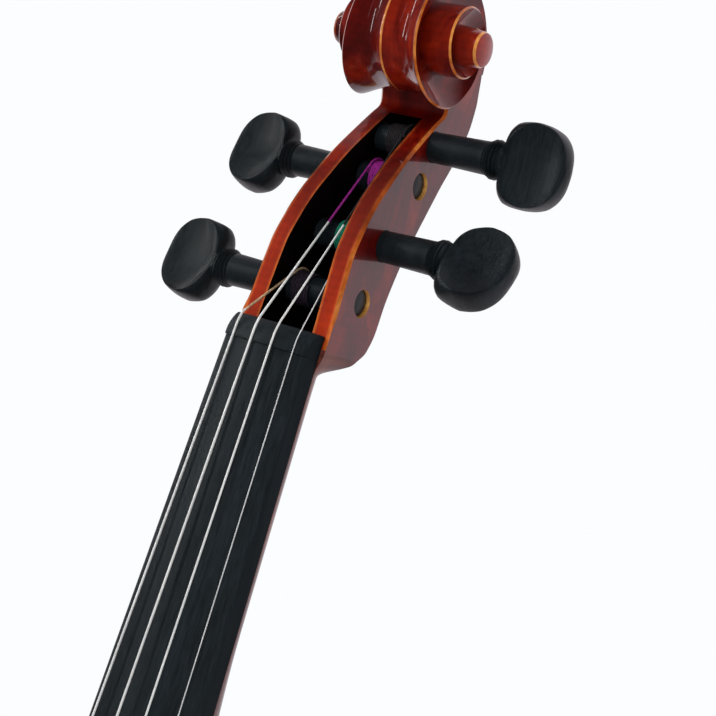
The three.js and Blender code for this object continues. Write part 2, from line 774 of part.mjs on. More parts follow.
// The spiral of the scroll: its edge comes in and its turns stand out towards the eye.
// Angles are counted from the back over the top, in turns.
const spiralRadiusShares = [[0, 1.05], [0.25, 0.97], [0.5, 0.82], [0.75, 0.75], [1, 0.63], [1.25, 0.54],
  [1.5, 0.48], [1.75, 0.43], [2, 0.35], [2.25, 0.27]];
const spiralHalfShares = [[0, 0.47], [0.25, 0.45], [0.5, 0.47], [0.75, 0.59], [1, 0.68], [1.25, 0.73],
  [1.5, 0.76], [1.75, 0.8], [2, 0.84], [2.25, 0.86]];
function tableAt(table, at) {
  const k = Math.max(1, table.findIndex(([place]) => place >= at - 1e-9));
  const [a, b] = [table[k - 1], table[k]];
  return mix(a[1], b[1], (at - a[0]) / (b[0] - a[0]));
}

function scrollTurns() {
  // The count is no multiple of the turns, so that no wedge face lies over another
  const count = 43;
  const start = 0.05;
  const end = 2.25;
  const edge = (turn) => {
    const radius = voluteRadius * tableAt(spiralRadiusShares, turn);
    const angle = 2 * Math.PI * turn;
    return [eyeDepth + radius * Math.cos(angle), eyeHeight + radius * Math.sin(angle)];
  };
  const half = (turn) => eyeHalf * tableAt(spiralHalfShares, turn);
  const wedges = Array.from({ length: count }, (_, i) => {
    const from = mix(start, end, i / count);
    const to = mix(start, end, (i + 1) / count);
    const corners = [
      [eyeDepth, eyeHeight, half(from)],
      [...edge(from), half(from)],
      [...edge(to), half(to)],
    ];
    const ring = (side) => corners.map(([v, u, x]) => [side * x, v, u]);
    const points = [...ring(-1), ...ring(1)];
    const sides = [0, 1, 2].flatMap((a) => {
      const b = (a + 1) % 3;
      return [[a, b, b + 3], [a, b + 3, a + 3]];
    });
    return closedSurface(points, [[0, 2, 1], [3, 4, 5], ...sides]);
  });
  const eye = prism(circle(eyeDepth, eyeHeight, eyeRadius, 16), -eyeHalf, eyeHalf, sidePlace);
  return join(...wedges, eye);
}

// A shaft with its taper, along x, at the axis of a peg
const pegShaft = (out) => mix(pegEndRadius, pegRadius, (out + cheekHalfLow) / (2 * cheekHalfLow));
function pegCone(k, grow, from, to) {
  const radiusAt = (x) => pegShaft(pegSides[k] * x) + grow;
  const ring = (x) => circle(pegDepths[k], pegHeights[k], radiusAt(x), 16).map(([v, u]) => [x, v, u]);
  return loft([ring(from), ring(to)]);
}

const cheekHalfAt = (u) => mix(cheekHalfLow, cheekHalfTop, (u - nutBack) / (throatHeight - nutBack));

function makeNeck() {
  const smooth = (shares) =>
    new THREE.SplineCurve(shares.map((share) => new THREE.Vector2(...headPoint(share))));
  const back = smooth(pegboxBackShares).getPoints(26);
  const front = smooth(pegboxFrontShares).getPoints(14);
  const outline = [
    ...front.map((p) => [p.x, p.y]),
    [eyeDepth, eyeHeight - eyeRadius],
    [eyeDepth, eyeHeight + eyeRadius],
    ...back.map((p) => [p.x, p.y]).reverse(),
  ];
  const side = prism(outline, -cheekHalfLow - cutRun, cheekHalfLow + cutRun, sidePlace);
  const highest = eyeHeight + voluteRadius;
  const pegbox = common(side, headFront(neckStop - nutLength, highest, cheekHalfLow, cheekHalfTop));

  const cavityLow = nutBack + cavityStart;
  const floor = back
    .filter((p) => p.y > cavityLow + cavityStart && p.y < throatHeight - floorWall)
    .map((p) => [p.x - floorWall, p.y]);
  const cavityOutline = [
    [-cutRun, cavityLow],
    [floor[0][0] - floorWall, cavityLow],
    ...floor,
    [floor[floor.length - 1][0] - floorWall / 2, throatHeight],
    [throatDepth, throatHeight],
    [-cutRun, throatHeight - throatDepth],
  ];
  const inside = -cheekWall;
  const cavity = common(
    prism(cavityOutline, -cheekHalfLow, cheekHalfLow, sidePlace),
    headFront(nutBack, throatHeight + cutRun, cheekHalfLow + inside, cheekHalfTop + inside),
  );
  const reach = cheekHalfLow + cutRun;
  const holes = stringNames.map((_, k) => pegCone(k, turnGap + seatGap / 2, -reach, reach));
  const head = cut(join(pegbox, scrollTurns()), cavity, ...holes);

  const low = [-rootHalfFront - cutRun, rootHalfFront + cutRun];
  const below = prism(
    [[low[0], 0], [low[1], 0], [low[1], bodyLength + seatGap], [low[0], bodyLength + seatGap]],
    -heelDepth,
    heelDepth + cutRun,
    frontPlace,
  );
  const behind = prism(
    [[low[0], 0], [low[1], 0], [low[1], bodyLength + heelDepth], [low[0], bodyLength + heelDepth]],
    ribHeight - seatGap,
    heelDepth + ribHeight,
    frontPlace,
  );
  const shaft = neckShaft().applyMatrix4(neckMatrix);
  const heel = cut(shaft, below, behind);
  const root = cut(neckRoot(0), boardPlatform().applyMatrix4(neckMatrix));
  add("neck_and_scroll", join(heel, root, head.applyMatrix4(neckMatrix)), "varnish");
}

// What lies in front of the fingerboard's glued face
function boardPlatform() {
  const half = boardHalfEnd + cutRun;
  const outline = [[-half, -boardLength], [half, -boardLength], [half, neckStop], [-half, neckStop]];
  return prism(outline, -heelDepth, 0, (x, u, v) => [x, v, u]);
}

function makeFingerboard() {
  const count = 10;
  const section = (u) => {
    const half = boardHalf(u);
    const arc = Array.from({ length: count + 1 }, (_, i) => {
      const x = half * (1 - (2 * i) / count);
      return [x, boardTop(x, u), u];
    });
    return [[-half, -seatGap, u], [half, -seatGap, u], ...arc];
  };
  const end = neckStop - boardLength;
  const blank = loft([section(end), section(neckStop - seatGap)]);
  const trough = (u) =>
    Array.from({ length: 9 }, (_, i) => {
      const angle = (Math.PI * i) / 8;
      const half = boardHalf(u) - boardEdge;
      return [half * Math.cos(angle), cutRun - (boardHollow + cutRun) * Math.sin(angle), u];
    });
  const board = cut(blank, loft([trough(end - cutRun), trough(-edgeThickness)]));
  add("fingerboard", board, "ebony", neckGroup);

  // The nut, with a groove for each string
  const arc = Array.from({ length: count + 1 }, (_, i) => {
    const x = boardHalfTop * (1 - (2 * i) / count);
    return [x, boardTop(x, neckStop) - nutRise];
  });
  const outline = [[-boardHalfTop, -seatGap], [boardHalfTop, -seatGap], ...arc];
  const blankNut = prism(outline, neckStop, nutBack, floorPlace);
  const grooves = stringNames.map((_, k) => {
    const { x, y, z } = nutPoint(k);
    const radius = stringDiameters[k] / 2 + seatGap;
    const ring = (u, drop) => [
      [x - radius, y + radius + drop, u], [x + radius, y + radius + drop, u],
      [x + radius, y - 3 * radius, u], [x - radius, y - 3 * radius, u],
    ];
    return loft([ring(z - cutRun, 0), ring(nutBack - nutLength / 3, 0), ring(nutBack + cutRun, nutLength / 3)]);
  });
  add("nut", cut(blankNut, ...grooves), "ebony", neckGroup);
}

// Where string k bends over the nut, in the neck frame
function nutPoint(k) {
  const x = nutSpacing * (k / 3 - 0.5);
  const v = boardTop(x, neckStop) - nutRise - stringDiameters[k] / 2 + seatGap / 2;
  return new THREE.Vector3(x, v, neckStop);
}

// Where string k crosses the bridge, in the body frame: on the line from the nut that clears
// the fingerboard's end by its set height
function bridgePoint(k) {
  const share = boardLength / (neckStop + (bodyLength - bridgeZ) / Math.cos(tilt));
  const x = mix(nutSpacing, bridgeSpacing, share) * (k / 3 - 0.5);
  const end = neckStop - boardLength;
  const near = new THREE.Vector3(x, boardTop(x, end) - boardClearances[k], end).applyMatrix4(neckMatrix);
  const top = nutPoint(k).applyMatrix4(neckMatrix);
  return top.clone().lerp(near, (top.z - bridgeZ) / (top.z - near.z));
}

// Peg: stations along its axis as shares of the outer length, half breadth and half thickness
const pegHeadShares = [
  [0.04, 0.3, 0.6], [0.12, 0.42, 0.62], [0.22, 0.72, 0.66], [0.36, 0.95, 0.74], [0.52, 1, 0.86],
  [0.68, 0.97, 0.97], [0.82, 0.84, 0.96], [0.92, 0.6, 0.78], [0.985, 0.26, 0.4],
];
const collarShares = [
  [0, 0.72], [0.03, 0.92], [0.1, 0.98], [0.14, 0.74], [0.2, 1], [0.3, 1.02], [0.36, 0.78], [0.42, 0.7],
];
const collarLengthShare = 0.26;
function makePeg(k) {
  const sign = pegSides[k];
  const [v0, u0] = [pegDepths[k], pegHeights[k]];
  const inner = -cheekHalfAt(u0) + pegRecess;
  const collarLength = headLengthPeg * collarLengthShare;
  const headStart = collarX + collarLength * collarShares[collarShares.length - 1][0];
  const spin = THREE.MathUtils.degToRad(pegTurnDegrees[k]);
  const count = 14;
  const station = (x, breadth, thickness) =>
    Array.from({ length: count }, (_, i) => {
      const angle = (2 * Math.PI * i) / count;
      const [b, t] = [breadth * Math.cos(angle), thickness * Math.sin(angle)];
      const along = b * Math.cos(spin) - t * Math.sin(spin);
      const across = b * Math.sin(spin) + t * Math.cos(spin);
      return [sign * x, v0 + across, u0 + along];
    });
  const round = (x, radius) => station(x, radius, radius);
  const rings = [
    round(inner, pegShaft(inner)),
    round(collarX, pegShaft(collarX)),
    ...collarShares.slice(1).map(([a, r]) => round(collarX + a * collarLength, r * collarRadius)),
    ...pegHeadShares.map(([a, b, t]) =>
      station(headStart + a * (headLengthPeg - collarLength), b * headHalfBreadth, t * headHalfThickness),
    ),
  ];
  const peg = loft(rings);
  const holeX = windingOuterX[k] - sign * windingLength(k);
  const radius = stringDiameters[k] / 2 + seatGap;
  const hole = prism(circle(holeX, u0, radius, 8), v0 - 2 * pegRadius, v0 + 2 * pegRadius, (x, u, v) => [x, v, u]);
  add(`peg_${stringNames[k]}`, cut(peg, hole), "ebony", neckGroup);
}

const windingPitch = (k) => stringDiameters[k] + windingPitchGap;
const windingLength = (k) => windingLoops[k] * windingPitch(k);

// The turns of each string on its peg, one unbroken tube, and the stretch from tailpiece to peg
function makeString(k) {
  const name = stringNames[k];
  const radius = stringDiameters[k] / 2;
  const [v0, u0] = [pegDepths[k], pegHeights[k]];
  const steps = 16;
  const turnRadius = pegShaft(pegSides[k] * windingOuterX[k]) + seatGap + radius;
  const total = windingLoops[k] * steps;
  const route = Array.from({ length: total + 1 }, (_, i) => {
    const angle = Math.PI + (2 * Math.PI * i) / steps;
    const x = windingOuterX[k] - pegSides[k] * windingPitch(k) * (i / steps);
    return [x, v0 + turnRadius * Math.cos(angle), u0 - turnRadius * Math.sin(angle)];
  });
  let gap = Infinity;
  for (let i = 0; i < total; i++) {
    for (let j = i + steps / 2; j <= total; j++) {
      const apart = new THREE.Vector3(...route[i]).distanceTo(new THREE.Vector3(...route[j]));
      gap = Math.min(gap, apart - 2 * radius);
    }
  }
  console.log(`string_${name}_winding: least gap to itself ${gap.toFixed(2)} mm`);
  add(`string_${name}_winding`, tube(route, radius, 5), `${name}Silk`, neckGroup);

  // The stretch ends in part of a turn that lies on the winding
  const outer = turnRadius + 2 * radius + seatGap;
  const bend = nutPoint(k);
  const back = new THREE.Vector2(bend.y + nutLength / 6, nutBack + seatGap);
  const toPeg = new THREE.Vector2(v0 - back.x, u0 - back.y);
  const meet = Math.atan2(toPeg.y, toPeg.x) - Math.acos(outer / toPeg.length()) + Math.PI;
  const wrap = Array.from({ length: 5 }, (_, i) => {
    const angle = meet - (i * Math.PI) / 9;
    return toBody(windingOuterX[k], v0 + outer * Math.cos(angle), u0 + outer * Math.sin(angle));
  });
  const cross = bridgePoint(k);
  const points = [
    ...tailPoints(k),
    cross.toArray(),
    bend.clone().applyMatrix4(neckMatrix).toArray(),
    toBody(bend.x, bend.y, nutBack - nutLength / 3),
    toBody(bend.x, back.x, back.y),
    ...wrap,
  ];
  add(`string_${name}`, tube(points, radius, 6), "steel");
}

// Height of the tailpiece's crown and underside at z, and its half width
function tailpieceAt(z) {
  const share = (z - tailpieceLow) / tailpieceLength;
  const under = -mix(tailpieceLiftEnd, tailpieceLiftTop, share);
  const half = mix(tailpieceHalfEnd, tailpieceHalfTop, share ** 1.2);
  const crown = under - mix(tailpieceCrownEnd, tailpieceCrownTop, share);
  return { under, half, crown };
}

function tailpieceTop(x, z) {
  const { under, half, crown } = tailpieceAt(z);
  const edge = under - tailpieceEdge;
  return edge + (crown - edge) * Math.sqrt(Math.max(0, 1 - (x / half) ** 2));
}

const tailSpacingShare = 0.82;
const tailSpacing = (k) => (k / 3 - 0.5) * bridgeSpacing * tailSpacingShare;

// The string's run from its ball end, over the tailpiece fret, to the bridge
function tailPoints(k) {
  const x = tailSpacing(k);
  const radius = stringDiameters[k] / 2;
  const fretTop = tailpieceTop(x, tailFretZ) - tailFretRise - seatGap - radius;
  if (stringNames[k] === "e") {
    const hook = tailFretZ + tunerLength / 4;
    return [[tunerX - tunerWidth / 4, tailpieceTop(tunerX, tailFretZ) - tunerWidth, hook]];
  }
  return [
    [x, tailpieceAt(tailFretZ).under - 2 * radius, tailFretZ - slotDrop],
    [x, tailpieceTop(x, tailFretZ - slotDrop / 2) - radius, tailFretZ - slotDrop / 2],
    [x, fretTop, tailFretZ - tailFretWidth],
    [x, fretTop, tailFretZ + tailFretWidth],
  ];
}

// Bridge: half outline as shares of half width and height, from the foot's inner corner out
// and up to the crown; the strings' points close the top
const bridgeInstepShare = [0.42, 0.02];
const bridgeSideShares = [
  [1, 0.08], [0.82, 0.15], [0.74, 0.27], [0.86, 0.34], [0.93, 0.4],
  [0.74, 0.4], [0.55, 0.36], [0.45, 0.43], [0.5, 0.53], [0.66, 0.55], [0.8, 0.5], [0.97, 0.49],
  [0.99, 0.6], [0.95, 0.76],
];
const bridgeArchShares = [[0, 0.24], [0.2, 0.21], [0.34, 0.13]];
const bridgeHeartShares = [[0, 0.4], [0.12, 0.5], [0.17, 0.58], [0.12, 0.63], [0.05, 0.62], [0, 0.57]];
function makeBridge({ bellyBlank }) {
  const base = bellyTop(0, bridgeZ);
  const crown = bridgePoint(1).y;
  const height = base - crown;
  const place = ([a, b]) => [a * bridgeHalf, base - b * height];
  const flip = (points) => points.map(([x, y]) => [-x, y]).reverse();
  const sole = (x) => [x, bellyTop(x, bridgeZ) + plateThickness / 2];
  const instep = place(bridgeInstepShare);
  const right = [
    ...bridgeArchShares.slice(1).map(place),
    instep,
    sole(instep[0]),
    sole(bridgeHalf),
    ...bridgeSideShares.map(place),
  ];
  const tops = stringNames
    .map((_, k) => {
      const p = bridgePoint(k);
      return [p.x, p.y + stringDiameters[k] / 2 + seatGap];
    })
    .reverse();
  const ends = [tops[0], tops[3]].map(([x, y]) => [x + Math.sign(x) * bridgeSideRun, y + bridgeSideRun / 2]);
  const outline = [place(bridgeArchShares[0]), ...right, ends[0], ...tops, ends[1], ...flip(right)];
  const heartRight = bridgeHeartShares.map(place);
  const heart = [...heartRight, ...flip(heartRight.slice(1, -1))];
  const thickness = (y) => mix(bridgeFoot, bridgeTop, THREE.MathUtils.clamp((base - y) / height, -0.2, 1));
  const blank = prism(outline, 0, 1, (x, y, t) => [x, y, bridgeZ - bridgeTop / 2 + t * thickness(y)], [heart]);
  const feetRoom = [moved(bellyBlank, 0, -seatGap, 0), moved(bellyBlank, 0, -seatGap, bridgeFoot)];
  add("bridge", cut(blank, ...feetRoom), "bareMaple");
}

const tailpieceStationShares = [[0, 0.86], [0.04, 1], [0.3, 1], [0.6, 1], [0.93, 1], [1, 0.86]];
function makeTailpiece() {
  const count = 8;
  const rings = tailpieceStationShares.map(([share, ease]) => {
    const z = tailpieceLow + share * tailpieceLength;
    const { under, half } = tailpieceAt(z);
    const arc = Array.from({ length: count + 1 }, (_, i) => {
      const x = half * Math.cos((Math.PI * i) / count);
      return [x * ease, under + (tailpieceTop(x, z) - under) * ease, z];
    });
    return [[-half * ease, under, z], [half * ease, under, z], ...arc];
  });
  const slots = stringNames.flatMap((_, k) => {
    const x = tailSpacing(k);
    const z = tailFretZ - slotDrop;
    const slit = [[x - slotHalf, z], [x + slotHalf, z], [x + slotHalf, z + slotDrop], [x - slotHalf, z + slotDrop]];
    const deep = [-2 * tailpieceLiftTop, 0];
    const eye = prism(circle(x, z, slotRadius, 10), ...deep, frontPlace);
    return [join(eye, prism(slit, ...deep, frontPlace))];
  });
  const groove = prism(
    fretOutline(-seatGap, tailFretRise + cutRun),
    tailFretZ - tailFretWidth / 2 - seatGap,
    tailFretZ + tailFretWidth / 2 + seatGap,
    floorPlace,
  );
  add("tailpiece", cut(loft(rings), ...slots, groove), "ebony");
  const fret = prism(fretOutline(0, tailFretRise), tailFretZ - tailFretWidth / 2, tailFretZ + tailFretWidth / 2, floorPlace);
  add("tailpiece_fret", fret, "ebony");
}

// The fret's outline in the x, y plane: it sits a little below the tailpiece's surface
const tailFretShare = 0.88;
function fretOutline(drop, rise) {
  const count = 8;
  const half = tailpieceAt(tailFretZ).half * tailFretShare;
  const across = Array.from({ length: count + 1 }, (_, i) => half * (1 - (2 * i) / count));
  const surface = (x, off) => [x * (1 - drop / half), tailpieceTop(x, tailFretZ) + off];
  return [
    ...across.map((x) => surface(x, seatGap - drop)),
    ...across.reverse().map((x) => surface(x, -rise)),
  ];
}

const saddleShoulderShare = 0.62;
const endButtonRimShare = 0.8;
const endButtonTaperShare = 0.85;
const gutSpreadShare = 0.6;
function makeSaddleAndButton() {
  const shoulder = saddleHalf * saddleShoulderShare;
  const outline = [
    [-saddleHalf, 0], [saddleHalf, 0], [saddleHalf, -edgeThickness],
    [shoulder, -saddleHeight], [-shoulder, -saddleHeight], [-saddleHalf, -edgeThickness],
  ];
  add("saddle", prism(outline, 0, saddleLength, floorPlace), "ebony");

  const face = edgeOverhang - seatGap;
  const inside = edgeOverhang + endBlockDepth - cutRun;
  const loopZ = -gutRadius - 1.5 * seatGap;
  const grooveHalf = gutRadius + seatGap;
  const profile = [
    [0, -endButtonOut], [endButtonRadius - gutRadius, -endButtonOut],
    [endButtonRadius, -endButtonOut + gutRadius], [endButtonRadius, loopZ - grooveHalf - gutRadius],
    [endButtonNeck, loopZ - grooveHalf], [endButtonNeck, loopZ + grooveHalf],
    [endButtonRadius * endButtonRimShare, face - gutRadius / 2], [endButtonRadius * endButtonRimShare, face],
    [endButtonShaft, face], [endButtonShaft * endButtonTaperShare, inside], [0, inside],
  ];
  const button = new THREE.LatheGeometry(profile.map(([r, z]) => new THREE.Vector2(r, z)), 20);
  button.rotateX(Math.PI / 2).translate(0, ribHeight / 2, 0);
  add("end_button", geometryOf(solid(button)), "ebony");

  // The gut runs from the tailpiece over the saddle, round the button and back
  const loopRadius = endButtonNeck + gutRadius + seatGap;
  const down = [
    [gutHalf, -tailpieceLiftEnd - tailpieceEdge / 2, tailpieceLow - seatGap - gutRadius / 2],
    [gutHalf, -saddleHeight - gutRadius - 2 * seatGap, 0],
    [gutHalf, -saddleHeight - gutRadius / 2, -gutRadius - seatGap],
    [gutHalf, -saddleHeight + gutRadius, -gutRadius - 2.5 * seatGap],
    [gutHalf, -saddleHeight / 3, loopZ],
    [mix(gutHalf, loopRadius, gutSpreadShare), ribHeight / 5, loopZ],
  ];
  const turnSteps = 10;
  const turn = Array.from({ length: turnSteps + 1 }, (_, i) => {
    const angle = (Math.PI * i) / turnSteps;
    return [loopRadius * Math.cos(angle), ribHeight / 2 + loopRadius * Math.sin(angle), loopZ];
  });
  const up = down.map(([x, y, z]) => [-x, y, z]).reverse();
  add("tailgut", tube([...down, ...turn, ...up], gutRadius, 6), "gut");
}

// Fine tuner: a bracket that stands on the tailpiece, a lever through it, and the screw.
// Side outlines are shares of its length and rise.
const tunerShellShares = [[-0.5, 0], [0.5, 0], [0.5, 0.36], [0, 0.6], [-0.5, 0.56]];
const tunerSlotShares = [[1, 0.27], [0, 0.4], [-1, 0.42]];
const tunerLeverShares = [[-0.42, 0.26], [0.6, 0.17], [0.72, 0.3], [0.55, 0.243], [-0.42, 0.34]];
const tunerScrewShares = [[1, 0.7], [1, 0.74], [1, 0.95], [0.7, 1]];
function makeFineTuner() {
  const z = tailFretZ - tailFretWidth - tunerLength / 2;
  const half = tunerWidth / 2;
  const base = tailpieceTop(tunerX - half, z + tunerLength / 2) - seatGap;
  const place = (y, up, x) => [tunerX + x, y, up];
  const side = (shares) => shares.map(([along, up]) => [base - up * tunerRise, z + along * tunerLength]);
  const slotFloor = [z - tunerLength, z + tunerLength].map((end) => [base - tunerBase, end]);
  const slot = [...slotFloor, ...side(tunerSlotShares)];
  const inner = half - tunerWall;
  const screwZ = z - tunerLength / 4;
  const hole = prism(
    circle(tunerX, screwZ, tunerScrewRadius + seatGap, 10),
    base - tunerRise,
    base - 2 * tunerBase,
    frontPlace,
  );
  const bracket = cut(prism(side(tunerShellShares), -half, half, place), prism(slot, -inner, inner, place), hole);
  add("tuner_bracket", bracket, "steel");

  const lever = prism(side(tunerLeverShares), -inner + seatGap, inner - seatGap, place);
  add("tuner_lever", lever, "steel");

  const tip = tunerRise * tunerLeverShares[tunerLeverShares.length - 1][1] + seatGap;
  const [shank, ...headShares] = tunerScrewShares;
  const profile = [
    [0, tip],
    [tunerScrewRadius, tip],
    [tunerScrewRadius, tunerRise * shank[1]],
    ...headShares.map(([r, up]) => [tunerHeadRadius * r, tunerRise * up]),
    [0, tunerRise],
  ];
  const screw = new THREE.LatheGeometry(profile.map(([r, h]) => new THREE.Vector2(r, h)), 16);
  screw.rotateX(Math.PI).translate(tunerX, base, screwZ);
  add("tuner_screw", geometryOf(solid(screw)), "steel");
}

// Chin rest: dished plate, corks, two brackets with rods, and two turnbuckle barrels.
// The plate's rings: size, share of its thickness, share of its dish
const chinRingShares = [
  [0.35, 0, -0.35], [0.7, 0, -0.25], [0.96, 0, 0], [1, 0.5, 0], [0.96, 1, 0], [0.7, 1, -0.7], [0.35, 1, -1],
];
const eggShare = 0.08;
function makeChinRest() {
  const count = 20;
  const egg = Array.from({ length: count }, (_, i) => {
    const angle = (2 * Math.PI * i) / count;
    return [Math.cos(angle) * (1 + eggShare * Math.sin(2 * angle)), Math.sin(angle)];
  });
  const ring = ([size, thick, dish]) =>
    egg.map(([a, b]) => [
      chinPlateX + size * chinPlateHalf * a,
      -chinPlateLift - thick * chinPlateThickness - dish * chinDish,
      chinPlateZ + size * chinPlateDeep * b,
    ]);
  const plate = loft(chinRingShares.map(ring));
  const box = (x0, x1, y0, y1, z0, z1) => prism([[x0, z0], [x1, z0], [x1, z1], [x0, z1]], y0, y1, frontPlace);
  const [left, right] = [clampX - clampHalf - barrelRadius, clampX + clampHalf + barrelRadius];
  const rim = insetCurve("lowerEnd", 0).concat(insetCurve("lowerHip", 0));
  const edgeZ = (x) => {
    const k = Math.max(1, rim.findIndex(([half]) => half >= Math.abs(x)));
    const [a, b] = [rim[k - 1], rim[k]];
    return mix(a[1], b[1], (Math.abs(x) - a[0]) / (b[0] - a[0]));
  };
  const footEnd = edgeZ(left) + footLength;
  // The corks fill the room under the arching, at least half their thickness at its highest place
  const reachOf = (rise) => Math.max(rise(clampX) + corkThickness, rise(right) + corkThickness / 2);
  const bossLow = -reachOf((x) => -bellyTop(x, footEnd)) - seatGap;
  const boss = box(left, right, -chinPlateLift - chinPlateThickness / 2, bossLow, -clampOut / 2, footEnd);
  const outZ = Math.min(edgeZ(left), edgeZ(right), edgeZ(clampX)) - clampOut;
  const rodX = [clampX - clampHalf, clampX + clampHalf];
  const rod = (x, y0, y1) => prism(circle(x, outZ, clampRod, 10), y0, y1, frontPlace);
  const barrelMiddle = ribHeight / 2;
  const [barrelLow, barrelHigh] = [barrelMiddle - barrelLength / 2, barrelMiddle + barrelLength / 2];
  add("chinrest_plate", join(plate, boss), "ebony");
  const corkTop = box(left, right, bossLow + seatGap, -edgeThickness - seatGap, edgeZ(left), footEnd);
  add("chinrest_cork", cut(corkTop, moved(archedPlate(0, -1, bellyRise), 0, -seatGap, 0)), "cork");

  const strapX = [rodX[0] - 2 * clampRod, rodX[1] + 2 * clampRod];
  const strapY = bossLow - 2 * clampRod;
  const frontStrap = box(...strapX, strapY, bossLow, outZ - 2 * clampRod, -clampOut / 2 - seatGap);
  const upper = join(frontStrap, ...rodX.map((x) => rod(x, bossLow - clampRod, barrelMiddle - cutRun)));
  add("clamp_bracket_upper", upper, "steel");

  const footFace = reachOf((x) => backTop(x, footEnd)) + 2 * seatGap;
  const foot = box(...strapX, footFace, footFace + 2 * clampRod, outZ - 2 * clampRod, footEnd);
  const lower = join(foot, ...rodX.map((x) => rod(x, barrelMiddle + cutRun, footFace + clampRod)));
  add("clamp_bracket_lower", lower, "steel");
  const corkBlank = box(left, right, backEdge + seatGap, footFace - seatGap, edgeZ(left), footEnd);
  add("clamp_cork", cut(corkBlank, moved(archedPlate(ribHeight, 1, backRise), 0, seatGap, 0)), "cork");

  for (const [i, x] of rodX.entries()) {
    const tubeOf = (r, y0, y1) => prism(circle(x, outZ, r, 16), y0, y1, frontPlace);
    const inner = clampRod + seatGap;
    const pin = new THREE.CylinderGeometry(clampRod / 2, clampRod / 2, 3 * barrelRadius, 8)
      .rotateX(Math.PI / 2)
      .translate(x, barrelMiddle, outZ);
    const bored = tubeOf(inner, barrelLow - cutRun, barrelHigh + cutRun);
    add(`clamp_barrel_${i + 1}`, cut(tubeOf(barrelRadius, barrelLow, barrelHigh), bored, pin), "steel");
  }
}

const plates = makePlates();
makeRibsAndBlocks();
makeBarAndPost(plates);
makeNeck();
makeFingerboard();
for (let k = 0; k < stringNames.length; k++) {
  makePeg(k);
  makeString(k);
}
makeBridge(plates);
makeTailpiece();
makeSaddleAndButton();
makeFineTuner();
makeChinRest();

// The part's zero is where a wall hanger's yoke carries the head, under the scroll
neckGroup.applyMatrix4(neckMatrix);
violin.add(neckGroup);
const hanger = toBody(0, throatDepth, throatHeight);
violin.position.set(-hanger[0], -hanger[1], -hanger[2]);

export default violin;
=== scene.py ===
import math
import bmesh
import bpy
import numpy as np
from mathutils import Matrix, Vector


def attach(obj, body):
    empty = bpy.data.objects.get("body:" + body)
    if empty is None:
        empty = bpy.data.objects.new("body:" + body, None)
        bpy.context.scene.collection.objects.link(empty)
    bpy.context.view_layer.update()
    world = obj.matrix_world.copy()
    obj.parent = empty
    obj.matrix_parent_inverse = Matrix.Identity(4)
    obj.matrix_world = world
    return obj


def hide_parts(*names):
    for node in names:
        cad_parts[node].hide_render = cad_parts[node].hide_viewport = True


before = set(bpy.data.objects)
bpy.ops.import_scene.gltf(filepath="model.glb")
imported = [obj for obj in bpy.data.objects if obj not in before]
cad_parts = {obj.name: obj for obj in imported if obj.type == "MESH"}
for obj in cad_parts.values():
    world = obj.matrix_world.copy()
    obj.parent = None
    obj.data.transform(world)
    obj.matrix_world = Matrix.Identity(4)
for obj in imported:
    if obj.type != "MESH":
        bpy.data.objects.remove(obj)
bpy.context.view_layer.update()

# Two ways of giving a place, both in millimetres, both turned into the scene's metres.
# Body: x to the treble side, y from the belly's glued face to the back, z up from the lower edge.
# Neck: x, v backwards from the fingerboard's glued face, u up from the body's upper edge.
neckTilt = math.radians(6.1)
bodyShift = np.array([0.0, -32.51, -549.547])
neckShift = np.array([0.0, -42.81, -193.547])

# the body's sizes stand first, because neck and strings need some of them; the plates are flat inside
# up to the first way in from the rim, and follow the arch from the second one on
body = {"length": 356, "lowerHalf": 104, "lowerAt": 74.01, "waistHalf": 56, "waistAt": 197.01,
        "upperHalf": 84, "upperAt": 290, "bridgeAt": 160.98, "edge": 4, "plate": 3.2, "rise": 12,
        "backRise": 11, "rib": 31, "ribThickness": 1.2, "overhang": 2.8, "glueGap": 0.02, "flat": (9, 15)}


def bodyPlace(x, y, z):
    x, y, z = np.broadcast_arrays(x, y, z)
    return (np.stack([x, y, z], -1) + bodyShift) / 1000


def neckPlace(x, v, u):
    # the neck leans back: y = v cos + u sin, z = u cos - v sin, then the shift
    x, v, u = np.broadcast_arrays(x, v, u)
    y = v * math.cos(neckTilt) + u * math.sin(neckTilt)
    z = u * math.cos(neckTilt) - v * math.sin(neckTilt)
    return (np.stack([x, y, z], -1) + neckShift) / 1000


# Tools for surfaces

smoothAngle = 35
weldReach = 2e-6


def smoothRow(table, at, column=1):
    # a smooth curve through the table's points that never overshoots (slopes are harmonic means)
    table = np.array(table, float)
    px, py = table[:, 0], table[:, column]
    step = np.diff(px)
    rise = np.diff(py) / step
    slope = np.zeros(len(px))
    same = rise[1:] * rise[:-1] > 0
    slope[1:-1][same] = 2 * (rise[1:] * rise[:-1])[same] / (rise[1:] + rise[:-1])[same]
    slope[0], slope[-1] = rise[0], rise[-1]
    at = np.clip(at, px[0], px[-1])
    k = np.clip(np.searchsorted(px, at) - 1, 0, len(px) - 2)
    s = (at - px[k]) / step[k]
    return (py[k] * (1 + 2 * s) * (1 - s) ** 2 + slope[k] * step[k] * s * (1 - s) ** 2
            + py[k + 1] * s * s * (3 - 2 * s) + slope[k + 1] * step[k] * s * s * (s - 1))


def ease(value, low, high):
    # 0 below low, 1 above high, smooth between
    s = np.clip((value - low) / (high - low), 0, 1)
    return s * s * (3 - 2 * s)


def gridFaces(rows, columns, closed=True):
    # one four-sided face for each step along and each step round
    across = columns if closed else columns - 1
    r, c = np.meshgrid(np.arange(rows - 1), np.arange(across), indexing="ij")
    a = r * columns + c
    b = r * columns + (c + 1) % columns
    return np.stack([a, b, b + columns, a + columns], -1).reshape(-1, 4)


